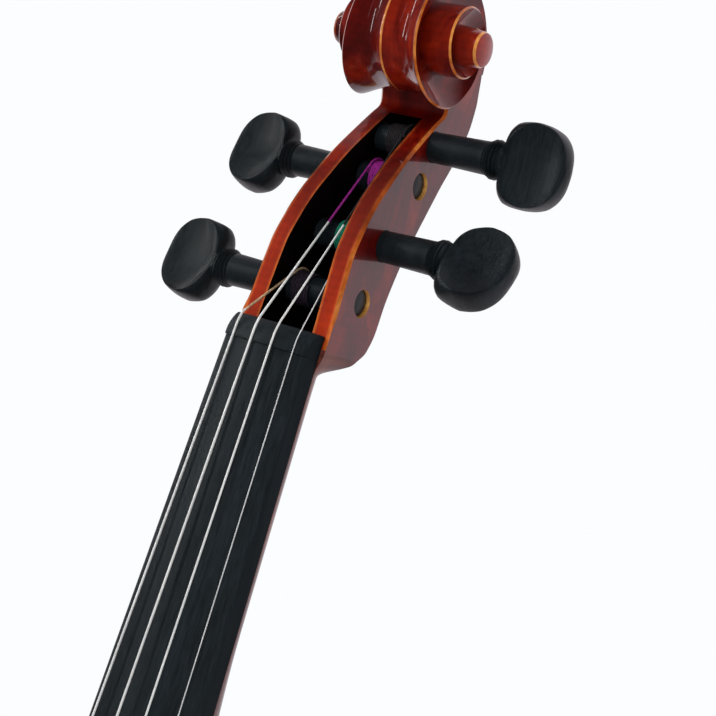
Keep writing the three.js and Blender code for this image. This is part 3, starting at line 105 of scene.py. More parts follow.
def makePiece(name, points, faces, material=None, faceSlots=None, angle=smoothAngle, weld=weldReach):
    # a mesh object at the scene's zero, with doubles merged, faces outwards and smooth shading
    mesh = bpy.data.meshes.new(name)
    points = np.asarray(points, float).reshape(-1, 3).tolist()
    mesh.from_pydata(points, [], [list(map(int, f)) for f in faces])
    if faceSlots is not None:
        mesh.polygons.foreach_set("material_index", np.asarray(faceSlots, np.int32))
    piece = bpy.data.objects.new(name, mesh)
    bpy.context.scene.collection.objects.link(piece)
    tidyMesh(piece, weld)
    shadeSmooth(piece, angle)
    if material is not None:
        for one in material if isinstance(material, (list, tuple)) else [material]:
            mesh.materials.append(one)
    return piece


def tidyMesh(piece, weld):
    # doubles are merged, scraps without area go, and the faces are turned outwards
    work = bmesh.new()
    work.from_mesh(piece.data)
    bmesh.ops.remove_doubles(work, verts=work.verts, dist=weld)
    bmesh.ops.dissolve_degenerate(work, edges=work.edges, dist=weld / 4)
    bmesh.ops.recalc_face_normals(work, faces=work.faces)
    work.to_mesh(piece.data)
    work.free()


def shadeSmooth(piece, angle):
    mesh = piece.data
    mesh.polygons.foreach_set("use_smooth", np.ones(len(mesh.polygons), bool))
    mesh.set_sharp_from_angle(angle=math.radians(angle))


def loftPiece(name, grid, material=None, faceSlots=None, angle=smoothAngle):
    # rings of points joined in order, closed by one flat face at each end
    rows, columns = grid.shape[:2]
    faces = gridFaces(rows, columns).tolist()
    faces += [list(range(columns))[::-1], [(rows - 1) * columns + c for c in range(columns)]]
    if faceSlots is not None:
        faceSlots = np.append(faceSlots, [0, 0])
    return makePiece(name, grid, faces, material, faceSlots, angle)


def tubePiece(name, path, radius, sides, material=None, faceSlots=None):
    # a round section carried along a path without twist: the side direction at each point is the one before,
    # made square to the path
    path = np.asarray(path, float)
    along = np.gradient(path, axis=0)
    along /= np.linalg.norm(along, axis=1)[:, None]
    side = np.zeros_like(path)
    start = np.array([1.0, 0, 0]) if abs(along[0, 0]) < 0.9 else np.array([0, 1.0, 0])
    for i in range(len(path)):
        start = start - along[i] * start.dot(along[i])
        start /= np.linalg.norm(start)
        side[i] = start
    up = np.cross(along, side)
    angleRound = 2 * math.pi * np.arange(sides) / sides
    ring = side[:, None] * np.cos(angleRound)[:, None] + up[:, None] * np.sin(angleRound)[:, None]
    return loftPiece(name, path[:, None] + ring * radius, material, faceSlots, 50)


def lathePiece(name, profile, centre, axis, material, sides=64, place=bodyPlace, faceSlots=None):
    # a profile of radius and reach turned round an axis of the body or neck frame
    profile = np.array(profile, float)
    turn = 2 * math.pi * np.arange(sides) / sides
    a, b = profile[:, 0, None] * np.cos(turn), profile[:, 0, None] * np.sin(turn)
    h = np.broadcast_to(profile[:, 1, None], a.shape)
    order = {"x": (h, a, b), "y": (a, h, b), "z": (a, b, h)}[axis]
    grid = place(*(part + middle for part, middle in zip(order, centre)))
    return loftPiece(name, grid, material, faceSlots)


def applyModifiers(piece, angle):
    # the piece's modifiers are worked out once and become its mesh
    bpy.context.view_layer.update()
    mesh = bpy.data.meshes.new_from_object(piece.evaluated_get(bpy.context.evaluated_depsgraph_get()))
    piece.modifiers.clear()
    piece.data = mesh
    shadeSmooth(piece, angle)


def combine(piece, others, operation, solver="EXACT", angle=smoothAngle):
    # the others are joined to the piece or cut out of it, and are gone afterwards
    for other in others:
        work = piece.modifiers.new("join", "BOOLEAN")
        work.operation = operation
        work.solver = solver
        work.object = other
        if solver == "EXACT":
            work.material_mode = "TRANSFER"
    applyModifiers(piece, angle)
    for other in others:
        bpy.data.objects.remove(other)


def softenEdges(piece, width, segments=3, sharp=30, angle=smoothAngle):
    # edges that bend by more than the sharp angle are rounded over a width in millimetres
    edge = piece.modifiers.new("soft", "BEVEL")
    edge.width, edge.segments = width / 1000, segments
    edge.limit_method, edge.angle_limit = "ANGLE", math.radians(sharp)
    applyModifiers(piece, angle)


def meshPoints(mesh):
    points = np.empty(len(mesh.vertices) * 3)
    mesh.vertices.foreach_get("co", points)
    return points.reshape(-1, 3)


def nodeReach(name):
    # a node's lowest and highest corner in the body frame
    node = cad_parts[name]
    points = np.array([node.matrix_world @ v.co for v in node.data.vertices]) * 1000 - bodyShift
    return points.min(0), points.max(0)


def settle(piece, rider, slot, *nodes):
    # the piece moves with its body, and stands for the nodes that are named
    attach(piece, rider)
    if nodes:
        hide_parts(*nodes)
    return piece


# Camera, light and floor

view = {"place": (210.282, -312.793, 116.604), "length": 1581.86, "frame": 716, "sensor": 36,
        "right": (0.8227, 0.478, 0.3077), "up": (-0.2413, -0.1965, 0.9503),
        "back": (0.5147, -0.8561, -0.0463)}
cameraData = bpy.data.cameras.new("camera")
cameraData.sensor_width = view["sensor"]
cameraData.lens = view["length"] * view["sensor"] / view["frame"]
cameraData.clip_start = 0.01
camera = bpy.data.objects.new("camera", cameraData)
viewTurn = np.array([neckPlace(*view[name]) - neckPlace(0, 0, 0) for name in ("right", "up", "back")]) * 1000
spot = neckPlace(*view["place"])
camera.matrix_world = Matrix([[*viewTurn[:, k], spot[k]] for k in range(3)] + [[0, 0, 0, 1]])
bpy.context.scene.collection.objects.link(camera)
bpy.context.scene.camera = camera
bpy.context.scene.view_settings.view_transform = "Standard"

studio = {"skyPlain": 0.5, "skyGloss": 0.85, "skySeen": (0.966, 0.983, 1), "floorDrop": -0.66,
          "floorHalf": 1.1, "panels": [(0.44, (0.02, 0.022, 0.026)), (0.66, (1, 0.93, 1))]}
# place, target, size, power and whether shiny things show it
lamps = {"keyLamp": ((-0.9, -1.1, 1.0), (0, 0, -0.1), (0.9, 0.9), 16, False),
         "sideLamp": ((1.1, 0.2, 0.5), (0, 0, -0.05), (0.6, 1.2), 8, False),
         "bodyLamp": ((0.4, -1.6, -0.2), (0, 0, -0.4), (1.0, 1.0), 10, False),
         "stripLeft": ((-1.25, -0.3, 0.45), (0, 0, 0), (0.07, 1.3), 3.0, True),
         "stripFront": ((-0.1, -1.5, 0.9), (0, 0, 0), (0.08, 1.0), 0.3, True),
         "stripMiddle": ((-1.05, -0.95, 0.25), (0, 0, 0), (0.08, 0.9), 3.2, True)}


def areaLamp(name, place, target, size, power, mirrored):
    data = bpy.data.lights.new(name, "AREA")
    data.shape = "RECTANGLE"
    data.size, data.size_y = size
    data.energy = power
    lamp = bpy.data.objects.new(name, data)
    lamp.location = place
    lamp.rotation_euler = (Vector(target) - Vector(place)).to_track_quat("-Z", "Y").to_euler()
    bpy.context.scene.collection.objects.link(lamp)
    lamp.visible_camera = False
    lamp.visible_glossy = mirrored


for name, lamp in lamps.items():
    areaLamp(name, *lamp)

world = bpy.data.worlds.new("studio")
bpy.context.scene.world = world
world.use_nodes = True
sky, skyLinks = world.node_tree.nodes, world.node_tree.links
sky.clear()


def backdrop(colour, strength):
    node = sky.new("ShaderNodeBackground")
    node.inputs["Color"].default_value = (*colour, 1)
    node.inputs["Strength"].default_value = strength
    return node


def mixBackdrops(share, first, second):
    node = sky.new("ShaderNodeMixShader")
    for output, socket in zip((share, first.outputs[0], second.outputs[0]), node.inputs):
        skyLinks.new(output, socket)
    return node


# shiny things see white panels behind and at the sides, and a darker room in front
skyPlace, skySplit = sky.new("ShaderNodeTexCoord"), sky.new("ShaderNodeSeparateXYZ")
skyMap, skyRamp = sky.new("ShaderNodeMapRange"), sky.new("ShaderNodeValToRGB")
skyMap.inputs["From Min"].default_value = -1
skyLinks.new(skyPlace.outputs["Generated"], skySplit.inputs[0])
skyLinks.new(skySplit.outputs["Y"], skyMap.inputs["Value"])
skyLinks.new(skyMap.outputs[0], skyRamp.inputs[0])
for element, (position, colour) in zip(skyRamp.color_ramp.elements, studio["panels"]):
    element.position = position
    element.color = (*colour, 1)
glossSky = backdrop((1, 1, 1), studio["skyGloss"])
skyLinks.new(skyRamp.outputs["Color"], glossSky.inputs["Color"])
rays, seen = sky.new("ShaderNodeLightPath"), sky.new("ShaderNodeMath")
seen.operation = "MAXIMUM"
skyLinks.new(rays.outputs["Is Camera Ray"], seen.inputs[0])
skyLinks.new(rays.outputs["Is Transmission Ray"], seen.inputs[1])
room = mixBackdrops(rays.outputs["Is Glossy Ray"], backdrop((1, 1, 1), studio["skyPlain"]), glossSky)
wholeSky = mixBackdrops(seen.outputs[0], room, backdrop(studio["skySeen"], 1))
skyLinks.new(wholeSky.outputs[0], sky.new("ShaderNodeOutputWorld").inputs[0])

floorCorners = np.array([[-1, -1], [1, -1], [1, 1], [-1, 1]]) * studio["floorHalf"]
floor = makePiece("floor", np.insert(floorCorners, 2, studio["floorDrop"], 1), [[0, 1, 2, 3]])
floor.visible_glossy = False
print("camera, lamps and floor are set")


# Materials

class Finish:
    # a material under construction: each call adds a node and gives its output
    def __init__(self, name, roughness=0.5, metallic=0.0, specular=0.5, coat=0.0, coatRoughness=0.1):
        self.material = bpy.data.materials.new(name)
        self.material.use_nodes = True
        self.nodes, self.links = self.material.node_tree.nodes, self.material.node_tree.links
        self.shader = self.nodes["Principled BSDF"]
        self.shader.inputs["Roughness"].default_value = roughness
        self.shader.inputs["Metallic"].default_value = metallic
        self.shader.inputs["Specular IOR Level"].default_value = specular
        self.shader.inputs["Coat Weight"].default_value = coat
        self.shader.inputs["Coat Roughness"].default_value = coatRoughness
        place = self.nodes.new("ShaderNodeTexCoord")
        self.object, self.facing = place.outputs["Object"], place.outputs["Normal"]

    def put(self, socket, value):
        if isinstance(value, (int, float)):
            socket.default_value = value
        elif isinstance(value, (tuple, list)):
            socket.default_value = (*value, 1) if len(value) == 3 and socket.type == "RGBA" else value
        else:
            self.links.new(value, socket)

    def split(self, vector):
        node = self.nodes.new("ShaderNodeSeparateXYZ")
        self.links.new(vector, node.inputs[0])
        return node.outputs

    def scaled(self, scale, turn=(0, 0, 0)):
        node = self.nodes.new("ShaderNodeMapping")
        self.links.new(self.object, node.inputs["Vector"])
        node.inputs["Scale"].default_value = scale
        node.inputs["Rotation"].default_value = turn
        return node.outputs[0]

    def pattern(self, kind, scale, turn, output, values):
        # a texture of scale 1 on the piece's own place, which is stretched instead
        node = self.nodes.new(kind)
        self.links.new(self.scaled(scale, turn), node.inputs["Vector"])
        for name, value in {"Scale": 1.0, **values}.items():
            node.inputs[name].default_value = value
        return node.outputs[output]

    def noise(self, scale, detail=3, roughness=0.5, distortion=0.0, turn=(0, 0, 0)):
        values = {"Detail": detail, "Roughness": roughness, "Distortion": distortion}
        return self.pattern("ShaderNodeTexNoise", scale, turn, 0, values)

    def wave(self, scale, distortion, detail, detailScale, axis="X"):
        values = {"Distortion": distortion, "Detail": detail, "Detail Scale": detailScale}
        bands = self.pattern("ShaderNodeTexWave", scale, (0, 0, 0), "Fac", values)
        bands.node.bands_direction = axis
        return bands

    def ramp(self, value, stops):
        node = self.nodes.new("ShaderNodeValToRGB")
        self.put(node.inputs[0], value)
        ramp = node.color_ramp
        while len(ramp.elements) < len(stops):
            ramp.elements.new(0.5)
        for element, (position, colour) in zip(ramp.elements, stops):
            element.position = position
            element.color = (*colour, 1) if isinstance(colour, tuple) else (colour, colour, colour, 1)
        return node.outputs["Color"]

    def mix(self, share, first, second, kind="MIX"):
        node = self.nodes.new("ShaderNodeMix")
        node.data_type = "RGBA"
        node.blend_type = kind
        self.put(node.inputs[0], share)
        self.put(node.inputs[6], first)
        self.put(node.inputs[7], second)
        return node.outputs[2]

    def math(self, kind, first, second=0.0, third=0.0):
        node = self.nodes.new("ShaderNodeMath")
        node.operation = kind
        for socket, value in zip(node.inputs, (first, second, third)):
            self.put(socket, value)
        return node.outputs[0]

    def attribute(self, name):
        node = self.nodes.new("ShaderNodeAttribute")
        node.attribute_name = name
        return node.outputs["Fac"]

    def bump(self, height, strength, distance):
        node = self.nodes.new("ShaderNodeBump")
        self.put(node.inputs["Height"], height)
        node.inputs["Strength"].default_value = strength
        node.inputs["Distance"].default_value = distance
        return node.outputs[0]

    def done(self, colour, roughness=None, normal=None, coatNormal=None):
        values = {"Base Color": colour, "Roughness": roughness, "Normal": normal, "Coat Normal": coatNormal}
        for name, value in values.items():
            if value is not None:
                self.put(self.shader.inputs[name], value)
        return self.material


def varnishedMaple(name, dark, middle, bright, flame=0.35, ripple=0.25, coat=1.0, glow=None, gold=None):
    # red-brown varnish: worn bright where thin, flamed across, with a hard gloss that ripples
    wood = Finish(name, roughness=0.45, specular=0.12, coat=coat, coatRoughness=0.04)
    worn = wood.noise((70, 70, 28), 5, 0.62, 0.6)
    colour = wood.ramp(worn, [(0.28, dark), (0.5, middle), (0.74, bright)])
    if glow is not None:
        # painted light: the pegbox faces that look forwards are painted a brighter orange towards the nut,
        # mottled by the wear noise
        place = wood.split(wood.object)
        height = wood.math("MULTIPLY_ADD", place[2], 10.0, 0.7)
        low = wood.math("MULTIPLY", wood.ramp(height, [(0.12, 1.0), (0.62, 0.0)]), 0.8)
        forwards = wood.math("MULTIPLY", wood.split(wood.facing)[1], -1.0)
        front = wood.ramp(forwards, [(0.3, 0.0), (0.8, 1.0)])
        low = wood.math("MULTIPLY", low, wood.ramp(worn, [(0.3, 0.45), (0.55, 1.0)]))
        colour = wood.mix(wood.math("MULTIPLY", low, front), colour, glow)
        # both edges of the pegbox walls are worn to gold; the walls narrow upwards
        inward = wood.math("MULTIPLY_ADD", place[2], 0.05386, wood.math("ABSOLUTE", place[0]))
        edge = wood.ramp(wood.math("MULTIPLY_ADD", inward, 150.0, -0.609),
                         [(0.12, 0.0), (0.16, 0.7), (0.19, 0.5), (0.27, 0.0), (0.7, 0.0), (0.82, 0.55)])
        fading = wood.ramp(height, [(0.12, 1.0), (0.4, 0.7), (0.66, 0.3), (0.7, 0.0)])
        edge = wood.math("MULTIPLY", edge, fading)
        edge = wood.math("MULTIPLY", edge, wood.ramp(worn, [(0.36, 0.2), (0.52, 1.0)]))
        colour = wood.mix(wood.math("MULTIPLY", edge, front), colour, gold)
    bands = wood.wave((8, 8, 150), 5.0, 2, 0.8, "Z")
    figure = wood.ramp(bands, [(0.2, (0.62, 0.55, 0.5)), (0.75, (1.15, 1.12, 1.08))])
    colour = wood.mix(flame, colour, figure, "MULTIPLY")
    pores = wood.noise((900, 900, 60), 2, 0.5)
    colour = wood.mix(0.22, colour, wood.ramp(pores, [(0.35, 0.55), (0.6, 1.0)]), "MULTIPLY")
    lay = wood.noise((260, 260, 70), 3, 0.5, 0.4)
    small = wood.bump(lay, ripple, 0.0006)
    return wood.done(colour, None, wood.bump(pores, 0.12, 0.0003), small)


# the head's glow colour is painted light on its forward faces; its gold is the worn edges of the pegbox walls
headVarnish = varnishedMaple("headVarnish", (0.02, 0.0004, 0.0002), (0.085, 0.0014, 0.0002),
                             (0.3, 0.015, 0.0012), 0.16, 0.02, 1.0, (0.42, 0.028, 0.002), (0.7, 0.2, 0.035))
ribVarnish = varnishedMaple("ribVarnish", (0.07, 0.006, 0.001), (0.2, 0.022, 0.003), (0.42, 0.085, 0.012),
                            0.8, 0.1)
neckVarnish = varnishedMaple("neckVarnish", (0.05, 0.01, 0.008), (0.11, 0.028, 0.02), (0.2, 0.07, 0.045),
                             0.4, 0.06, 0.6)
# the gold of the worn chamfers; on the scroll's middle ridge the same gold is a painted highlight
edgeWearAndHighlight = varnishedMaple("edgeWearAndHighlight", (0.1, 0.008, 0.001), (0.36, 0.075, 0.008), (0.8, 0.36, 0.09),
                             0.15, 0.3)


def cloudedFinish(name, dark, light, scale, roughness, specular, detail=3):
    # two tones that run softly into each other
    finish = Finish(name, roughness=roughness, specular=specular)
    tone = finish.noise(scale, detail)
    return finish.done(finish.ramp(tone, [(0.3, dark), (0.7, light)]))


# the pegbox well's inside painted near-black as painted shade, and the bare maple inside the peg holes
wellShadeMaterial = cloudedFinish("paintedWellShade", (0.0012, 0.0006, 0.0005), (0.004, 0.002, 0.0015), (120, 120, 120),
                            0.85, 0.05)
holeMaterial = cloudedFinish("holeWood", (0.42, 0.16, 0.03), (0.78, 0.42, 0.11), (500, 120, 500), 0.6, 0.3)


def ebonyWood(name, tone, specular, roughness):
    # near-black wood with faint straight grain along the violin and open pores
    ebony = Finish(name, roughness=roughness, specular=specular)
    grain = ebony.noise((1400, 1400, 45), 4, 0.6)
    broad = ebony.noise((160, 160, 14), 3, 0.5)
    low = (0.0045 * tone, 0.0062 * tone, 0.0075 * tone)
    high = (0.013 * tone, 0.019 * tone, 0.023 * tone)
    colour = ebony.ramp(grain, [(0.35, low), (0.7, high)])
    colour = ebony.mix(0.5, colour, ebony.ramp(broad, [(0.3, low), (0.75, high)]))
    rough = ebony.ramp(grain, [(0.3, roughness - 0.08), (0.7, roughness + 0.1)])
    return ebony.done(colour, rough, ebony.bump(grain, 0.12, 0.0002))


boardEbony = ebonyWood("boardEbony", 1.0, 0.2, 0.42)
# a darker copy of the board's ebony for the sides, as painted shade
shadedSideEbony = ebonyWood("shadedSideEbony", 0.7, 0.03, 0.5)
pegEbony = ebonyWood("pegEbony", 0.85, 0.24, 0.36)
restEbony = ebonyWood("restEbony", 0.9, 0.35, 0.25)


def bareWood(name, dark, light, lines=700, roughness=0.65):
    # unvarnished wood: dark year rings along the violin, softened by clouds
    wood = Finish(name, roughness=roughness, specular=0.25)
    rings = wood.wave((lines, lines * 0.1, 14), 2.5, 2, 0.6, "X")
    soft = wood.noise((60, 60, 12), 4)
    colour = wood.ramp(rings, [(0.15, light), (0.85, dark)])
    colour = wood.mix(0.35, colour, wood.ramp(soft, [(0.3, dark), (0.7, light)]))
    fibre = wood.noise((1500, 1500, 90), 2)
    return wood.done(colour, None, wood.bump(fibre, 0.15, 0.0002))


bareSpruce = bareWood("bareSpruce", (0.52, 0.33, 0.15), (0.75, 0.57, 0.33))
bareMaple = bareWood("bareMaple", (0.5, 0.29, 0.12), (0.7, 0.48, 0.25), 260, 0.45)


def metalFinish(name, colour, roughness, scratch, metallic=1.0):
    # brushed along the violin: fine marks change tone and gloss a little
    metal = Finish(name, roughness=roughness, metallic=metallic)
    marks = metal.noise((scratch, scratch, 40), 3, 0.6)
    tone = metal.ramp(marks, [(0.3, tuple(c * 0.82 for c in colour)), (0.7, colour)])
    rough = metal.ramp(marks, [(0.3, roughness - 0.06), (0.7, roughness + 0.08)])
    return metal.done(tone, rough, metal.bump(marks, 0.05, 0.0001))


stringSteel = metalFinish("stringSteel", (0.82, 0.82, 0.81), 0.3, 300, 0.3)
plainSteel = metalFinish("plainSteel", (0.75, 0.75, 0.75), 0.3, 300, 0.4)
platedSteel = metalFinish("platedSteel", (0.78, 0.77, 0.74), 0.2, 500)


def silkFinish(name, colour):
    # fine threads wound round the string show as ripples along it
    silk = Finish(name, roughness=0.6, specular=0.3)
    threads = silk.noise((1600, 1600, 1600), 2)
    tone = silk.ramp(threads, [(0.3, tuple(c * 0.45 for c in colour)), (0.65, colour)])
    return silk.done(tone, None, silk.bump(threads, 0.3, 0.0002))


silks = {"g": silkFinish("gSilk", (0.028, 0.02, 0.032)), "d": silkFinish("dSilk", (0.34, 0.022, 0.26)),
         "a": silkFinish("aSilk", (0.02, 0.018, 0.02)), "e": silkFinish("eSilk", (0.008, 0.19, 0.11))}
gutBeige = silkFinish("gStretch", (0.5, 0.34, 0.2))


def corkFinish():
    # light cork with dark grains
    cork = Finish("corkPad", roughness=0.9, specular=0.2)
    grains = cork.noise((900, 900, 900), 4, 0.7)
    tone = cork.ramp(grains, [(0.35, (0.16, 0.08, 0.03)), (0.6, (0.45, 0.28, 0.13))])
    return cork.done(tone, None, cork.bump(grains, 0.4, 0.0004))


corkPad = corkFinish()
gutNylon = cloudedFinish("gutNylon", (0.008, 0.007, 0.006), (0.016, 0.014, 0.012), (400, 400, 400),
                         0.35, 0.4, 2)
floor.data.materials.append(cloudedFinish("paleFloor", 0.8, 0.84, (3, 3, 3), 0.8, 0.2, 2))
print("materials are ready")


# Neck, pegbox and scroll: one piece of maple

headFinishes = [headVarnish, edgeWearAndHighlight, wellShadeMaterial, neckVarnish, holeMaterial]
edgeAndHighlightSlot, neckSlot = 1, 3

# each run is a pair of heights: the neck turns into the pegbox, or a chamfer or flute grows, between them
head = {"eyeDepth": 14.2, "eyeHeight": 214.3, "nut": 136.0, "throat": 197.0, "top": 216, "cheekLow": 13.2,
        "cheekTop": 10.06, "topHalf": 9.5, "chamfer": 0.7, "backChamfer": 0.25, "flute": 1.15,
        "boxRun": (126.5, 132), "chamferRun": (137, 142), "backRun": (128, 140), "fluteRun": (138, 160),
        "goldBack": 150, "columns": 176, "edge": 0.45}
board = {"nutHalf": 12, "endHalf": 21.1, "nutAt": 130, "length": 270, "top": 129.98, "end": -140.0,
         "radius": 42, "edge": 5.2, "hollow": 3.0}
neck = {"foot": -1.3, "chin": 133, "depthLow": 12.6, "depthHigh": 11.5, "heelDepth": 43.5}
# height and depth of the pegbox's back and front, seen from the side
backLine = [[60, 11.9], [120, 11.5], [126, 11.5], [130.3, 12.0], [132.9, 15.1], [136.3, 18.7], [141.4, 20.7],
            [148.4, 21.4], [155.3, 22.8], [162.7, 24.9], [170, 27.7], [176, 30.1], [182.4, 32.7],
            [190.2, 36.3], [196, 38.4], [201, 39.2], [206, 38.9], [210, 37.8], [214.3, 36.4], [216, 35.4]]
frontLine = [[60, 0], [136, 0], [147, 0], [155, 0.1], [163, 1.8], [170, 4.4], [175, 7.1], [183, 11.9],
             [190, 17.1], [196, 21.8], [199.5, 24.4], [203, 23], [208, 19], [216, 15]]
# height, share of the heel, share of the width kept at the back, and how full the section is
neckSections = [[-1.3, 1, 0.66, 0.55], [9.1, 1, 0.64, 0.55], [13.65, 1, 0.58, 0.6], [16.6, 0.97, 0.44, 0.68],
                [19, 0.8, 0.5, 0.75], [22.1, 0.55, 0.68, 0.8], [26.7, 0.31, 0.83, 0.9],
                [32.5, 0.14, 0.93, 1.0], [41.6, 0.04, 0.99, 1.12], [65, 0, 1, 1.3], [123.5, 0, 1, 1.3],
                [136, 0, 1, 1.0]]


def cheekHalf(u):
    # half the pegbox's width: straight from nut to throat
    heights = [head["nut"], head["throat"], head["eyeHeight"], head["top"]]
    return np.interp(u, heights, [head["cheekLow"], head["cheekTop"], head["cheekTop"], head["topHalf"]])


def boardHalf(u):
    # half the fingerboard's width: it grows evenly from the nut down
    return board["nutHalf"] + (board["endHalf"] - board["nutHalf"]) * (board["nutAt"] - u) / board["length"]


def neckHalfSection(u, theta):
    # half of a rounded section: x = half cos^n, v = depth sin^n, narrowed towards the back on the heel
    heel, backShare, full = (smoothRow(neckSections, u, k) for k in (1, 2, 3))
    plain = neck["depthLow"] + (neck["depthHigh"] - neck["depthLow"]) * np.clip(u / board["nutAt"], 0, 1)
    depth = plain + (neck["heelDepth"] - plain) * heel
    down = np.sin(theta) ** full
    return boardHalf(u) * np.cos(theta) ** full * (1 + (backShare - 1) * down), depth * down


def pegboxHalfSection(u, count):
    # front face, front chamfer, cheek, back chamfer and a hollow flute up to the spine
    half, front, back = cheekHalf(u), smoothRow(frontLine, u), smoothRow(backLine, u)
    c = head["chamfer"] * ease(u, *head["chamferRun"])
    cb = head["backChamfer"] + (1 - head["backChamfer"]) * ease(u, *head["backRun"])
    flute = head["flute"] * ease(u, *head["fluteRun"])
    nFront, nCheek = 5, 12
    nBack = count - nFront - nCheek
    s = np.linspace(0, 1, nFront)
    x = [s * (half - c)]
    v = [front + 0 * s]
    s = np.linspace(0, 1, nCheek)
    x.append(half + 0 * s)
    v.append(front + c + s * (back - cb - front - c))
    s = np.linspace(0, 1, nBack)
    x.append((half - cb) * (1 - s))
    v.append(back - flute * np.sin(math.pi * s) ** 1.2 - 0.3 * cb * (1 - s))
    return np.concatenate(x, -1), np.concatenate(v, -1)


def neckAndPegbox():
    # one loft up the neck: the rounded neck section turns into the pegbox's over the chin
    heights = np.concatenate([np.linspace(neck["foot"], 45, 56), np.linspace(46, 126, 28)[1:],
                              np.linspace(126.5, 146, 40), np.linspace(147, head["eyeHeight"], 66),
                              [215.3, head["top"]]])
    count = 49
    u = heights[:, None]
    # the first points of the neck section run along the glued face, as the pegbox's front face does
    flatCount = 5
    runOut = np.linspace(0, 1, flatCount)[None]
    bend = (math.pi / 2) * np.linspace(0, 1, count - flatCount + 1)[None]
    curveX, curveV = neckHalfSection(u, bend)
    neckX = np.concatenate([boardHalf(u) * runOut[:, :-1], curveX], 1)
    neckV = np.concatenate([0 * u * runOut[:, :-1], curveV], 1)
    boxX, boxV = pegboxHalfSection(u, count)
    w = ease(u, *head["boxRun"])
    x, v = neckX + (boxX - neckX) * w, neckV + (boxV - neckV) * w
    full = np.concatenate([neckPlace(x, v, u), neckPlace(-x, v, u)[:, -2:0:-1]], 1)
    # gold along the chamfer in front of each cheek and, higher up, along the one behind it
    slots = np.zeros((len(heights) - 1, full.shape[1]), int)
    slots[heights[:-1] < neck["chin"]] = neckSlot
    for low, columns in ((head["nut"], [4, -5]), (head["goldBack"], [16, -17])):
        slots[np.ix_(heights[:-1] > low, columns)] = edgeAndHighlightSlot
    return loftPiece("neckAndScroll", full, headFinishes, slots)


# turns of the spiral from its outer end inwards: the radius, the half width and the terrace's hollow there
spiralRadius = [[-0.3, 25], [0, 22.2], [0.1, 20], [0.25, 18], [0.5, 15.1], [0.65, 15.3], [0.8, 15.6],
                [0.9, 13.9], [1, 11.9], [1.25, 10.1], [1.5, 8.9], [1.75, 7.9], [2, 6.4], [2.25, 5.0],
                [2.4, 4.4], [4, 4.4]]
spiralHalf = [[0, 10.06], [0.25, 9.7], [0.5, 10.1], [0.75, 12.4], [1, 14.4], [1.25, 15.5], [1.5, 16.2],
              [1.75, 16.9], [2, 17.6], [2.25, 18], [4, 18]]
spiralDip = [[0, 0], [0.12, 1.4], [0.3, 2.8], [0.6, 3.2], [1, 3.0], [1.5, 2.6], [2, 1.6], [2.3, 0], [4, 0]]
# the outer turn's flute on each side of its ridge, and how far the ridge lies below the rims
rimFlute = [[0, 1.4], [0.25, 2.1], [0.5, 2.3], [0.7, 2.2], [0.85, 1.4], [1, 0]]
ridgeDrop = [[0, 0], [0.4, 0], [0.6, 1.2], [0.75, 2.6], [0.9, 2.0], [1, 0]]


def scrollVolute():
    # for each direction round the eye, the outline from the eye out over each turn's terrace, edge and wall
    n = head["columns"]
    phi = np.arange(n + 1) / n
    nTerrace, nWall, nRim = 12, 6, 15

    def ring(radius, x):
        out, up = radius * np.cos(2 * math.pi * phi), radius * np.sin(2 * math.pi * phi)
        return np.stack([x, head["eyeDepth"] + out, head["eyeHeight"] + up], -1)

    columns, slots = [], []
    for j in (3, 2, 1, 0):
        radius, level = smoothRow(spiralRadius, phi + j), smoothRow(spiralHalf, phi + j)
        inner = smoothRow(spiralRadius, phi + j + 1) if j < 3 else 0 * phi
        dip = smoothRow(spiralDip, phi + j)
        e = head["edge"] * (1 - ease(phi + j, 2.2, 2.9))
        for w in np.linspace(1, 0, nTerrace):
            hollow = dip * math.sin(math.pi / 2 * w) ** 0.9
            columns.append(ring((radius - e) * (1 - w) + inner * w, level - hollow))
            slots.append(0)
        slots[-1] = edgeAndHighlightSlot
        if j:
            outerLevel = smoothRow(spiralHalf, phi + j - 1) - smoothRow(spiralDip, phi + j - 1)
            for s in np.linspace(0, 1, nWall):
                columns.append(ring(radius, (level - e) * (1 - s) + outerLevel * s))
                slots.append(0)
    # the outer turn's rim runs in from the edge to the ridge in the middle, with a flute on the way; the
    # narrow last strip at the ridge takes the gold edge varnish as a painted highlight
    flute = smoothRow(rimFlute, phi)
    split = np.minimum(level - e - 0.35, head["cheekTop"])
    split = split + (head["cheekTop"] - split) * ease(phi, 0.8, 1)
    for s in np.concatenate([np.linspace(0, 1, nWall), 1 + np.linspace(0, 0.93, nRim - 1)[1:], [1.97, 2]]):
        x = (level - e) + (split - level + e) * s if s <= 1 else split * (2 - s)
        share = np.clip(x / (level - e), 0, 1)
        drop = smoothRow(ridgeDrop, phi) * (1 - share) ** 2
        columns.append(ring(radius - flute * np.sin(math.pi * share) ** 1.2 - drop, x))
        slots.append(edgeAndHighlightSlot if s >= 1.97 else 0)
    points = np.stack(columns, 1)
    rows = points.shape[1]
    half = gridFaces(n + 1, rows, closed=False)
    slotOf = np.tile(np.array(slots[:-1]), n)
    both = np.concatenate([points.reshape(-1, 3), points.reshape(-1, 3) * [-1, 1, 1]])
    shift = (n + 1) * rows
    faces = half.tolist() + (half[:, ::-1] + shift).tolist()
    # one face closes both halves where the outer turn meets the throat
    first = list(range(3 * nTerrace + 3 * nWall, rows))
    last = [n * rows + k for k in range(rows - nRim, rows)]
    faces.append(first + [k + shift for k in first[:-1][::-1]] + [k + shift for k in last[:-1]] + last[::-1])
    world = neckPlace(both[:, 0], both[:, 1], both[:, 2])
    return makePiece("scrollTurns", world, faces, headFinishes, slotOf.tolist() * 2 + [0], weld=4e-6)


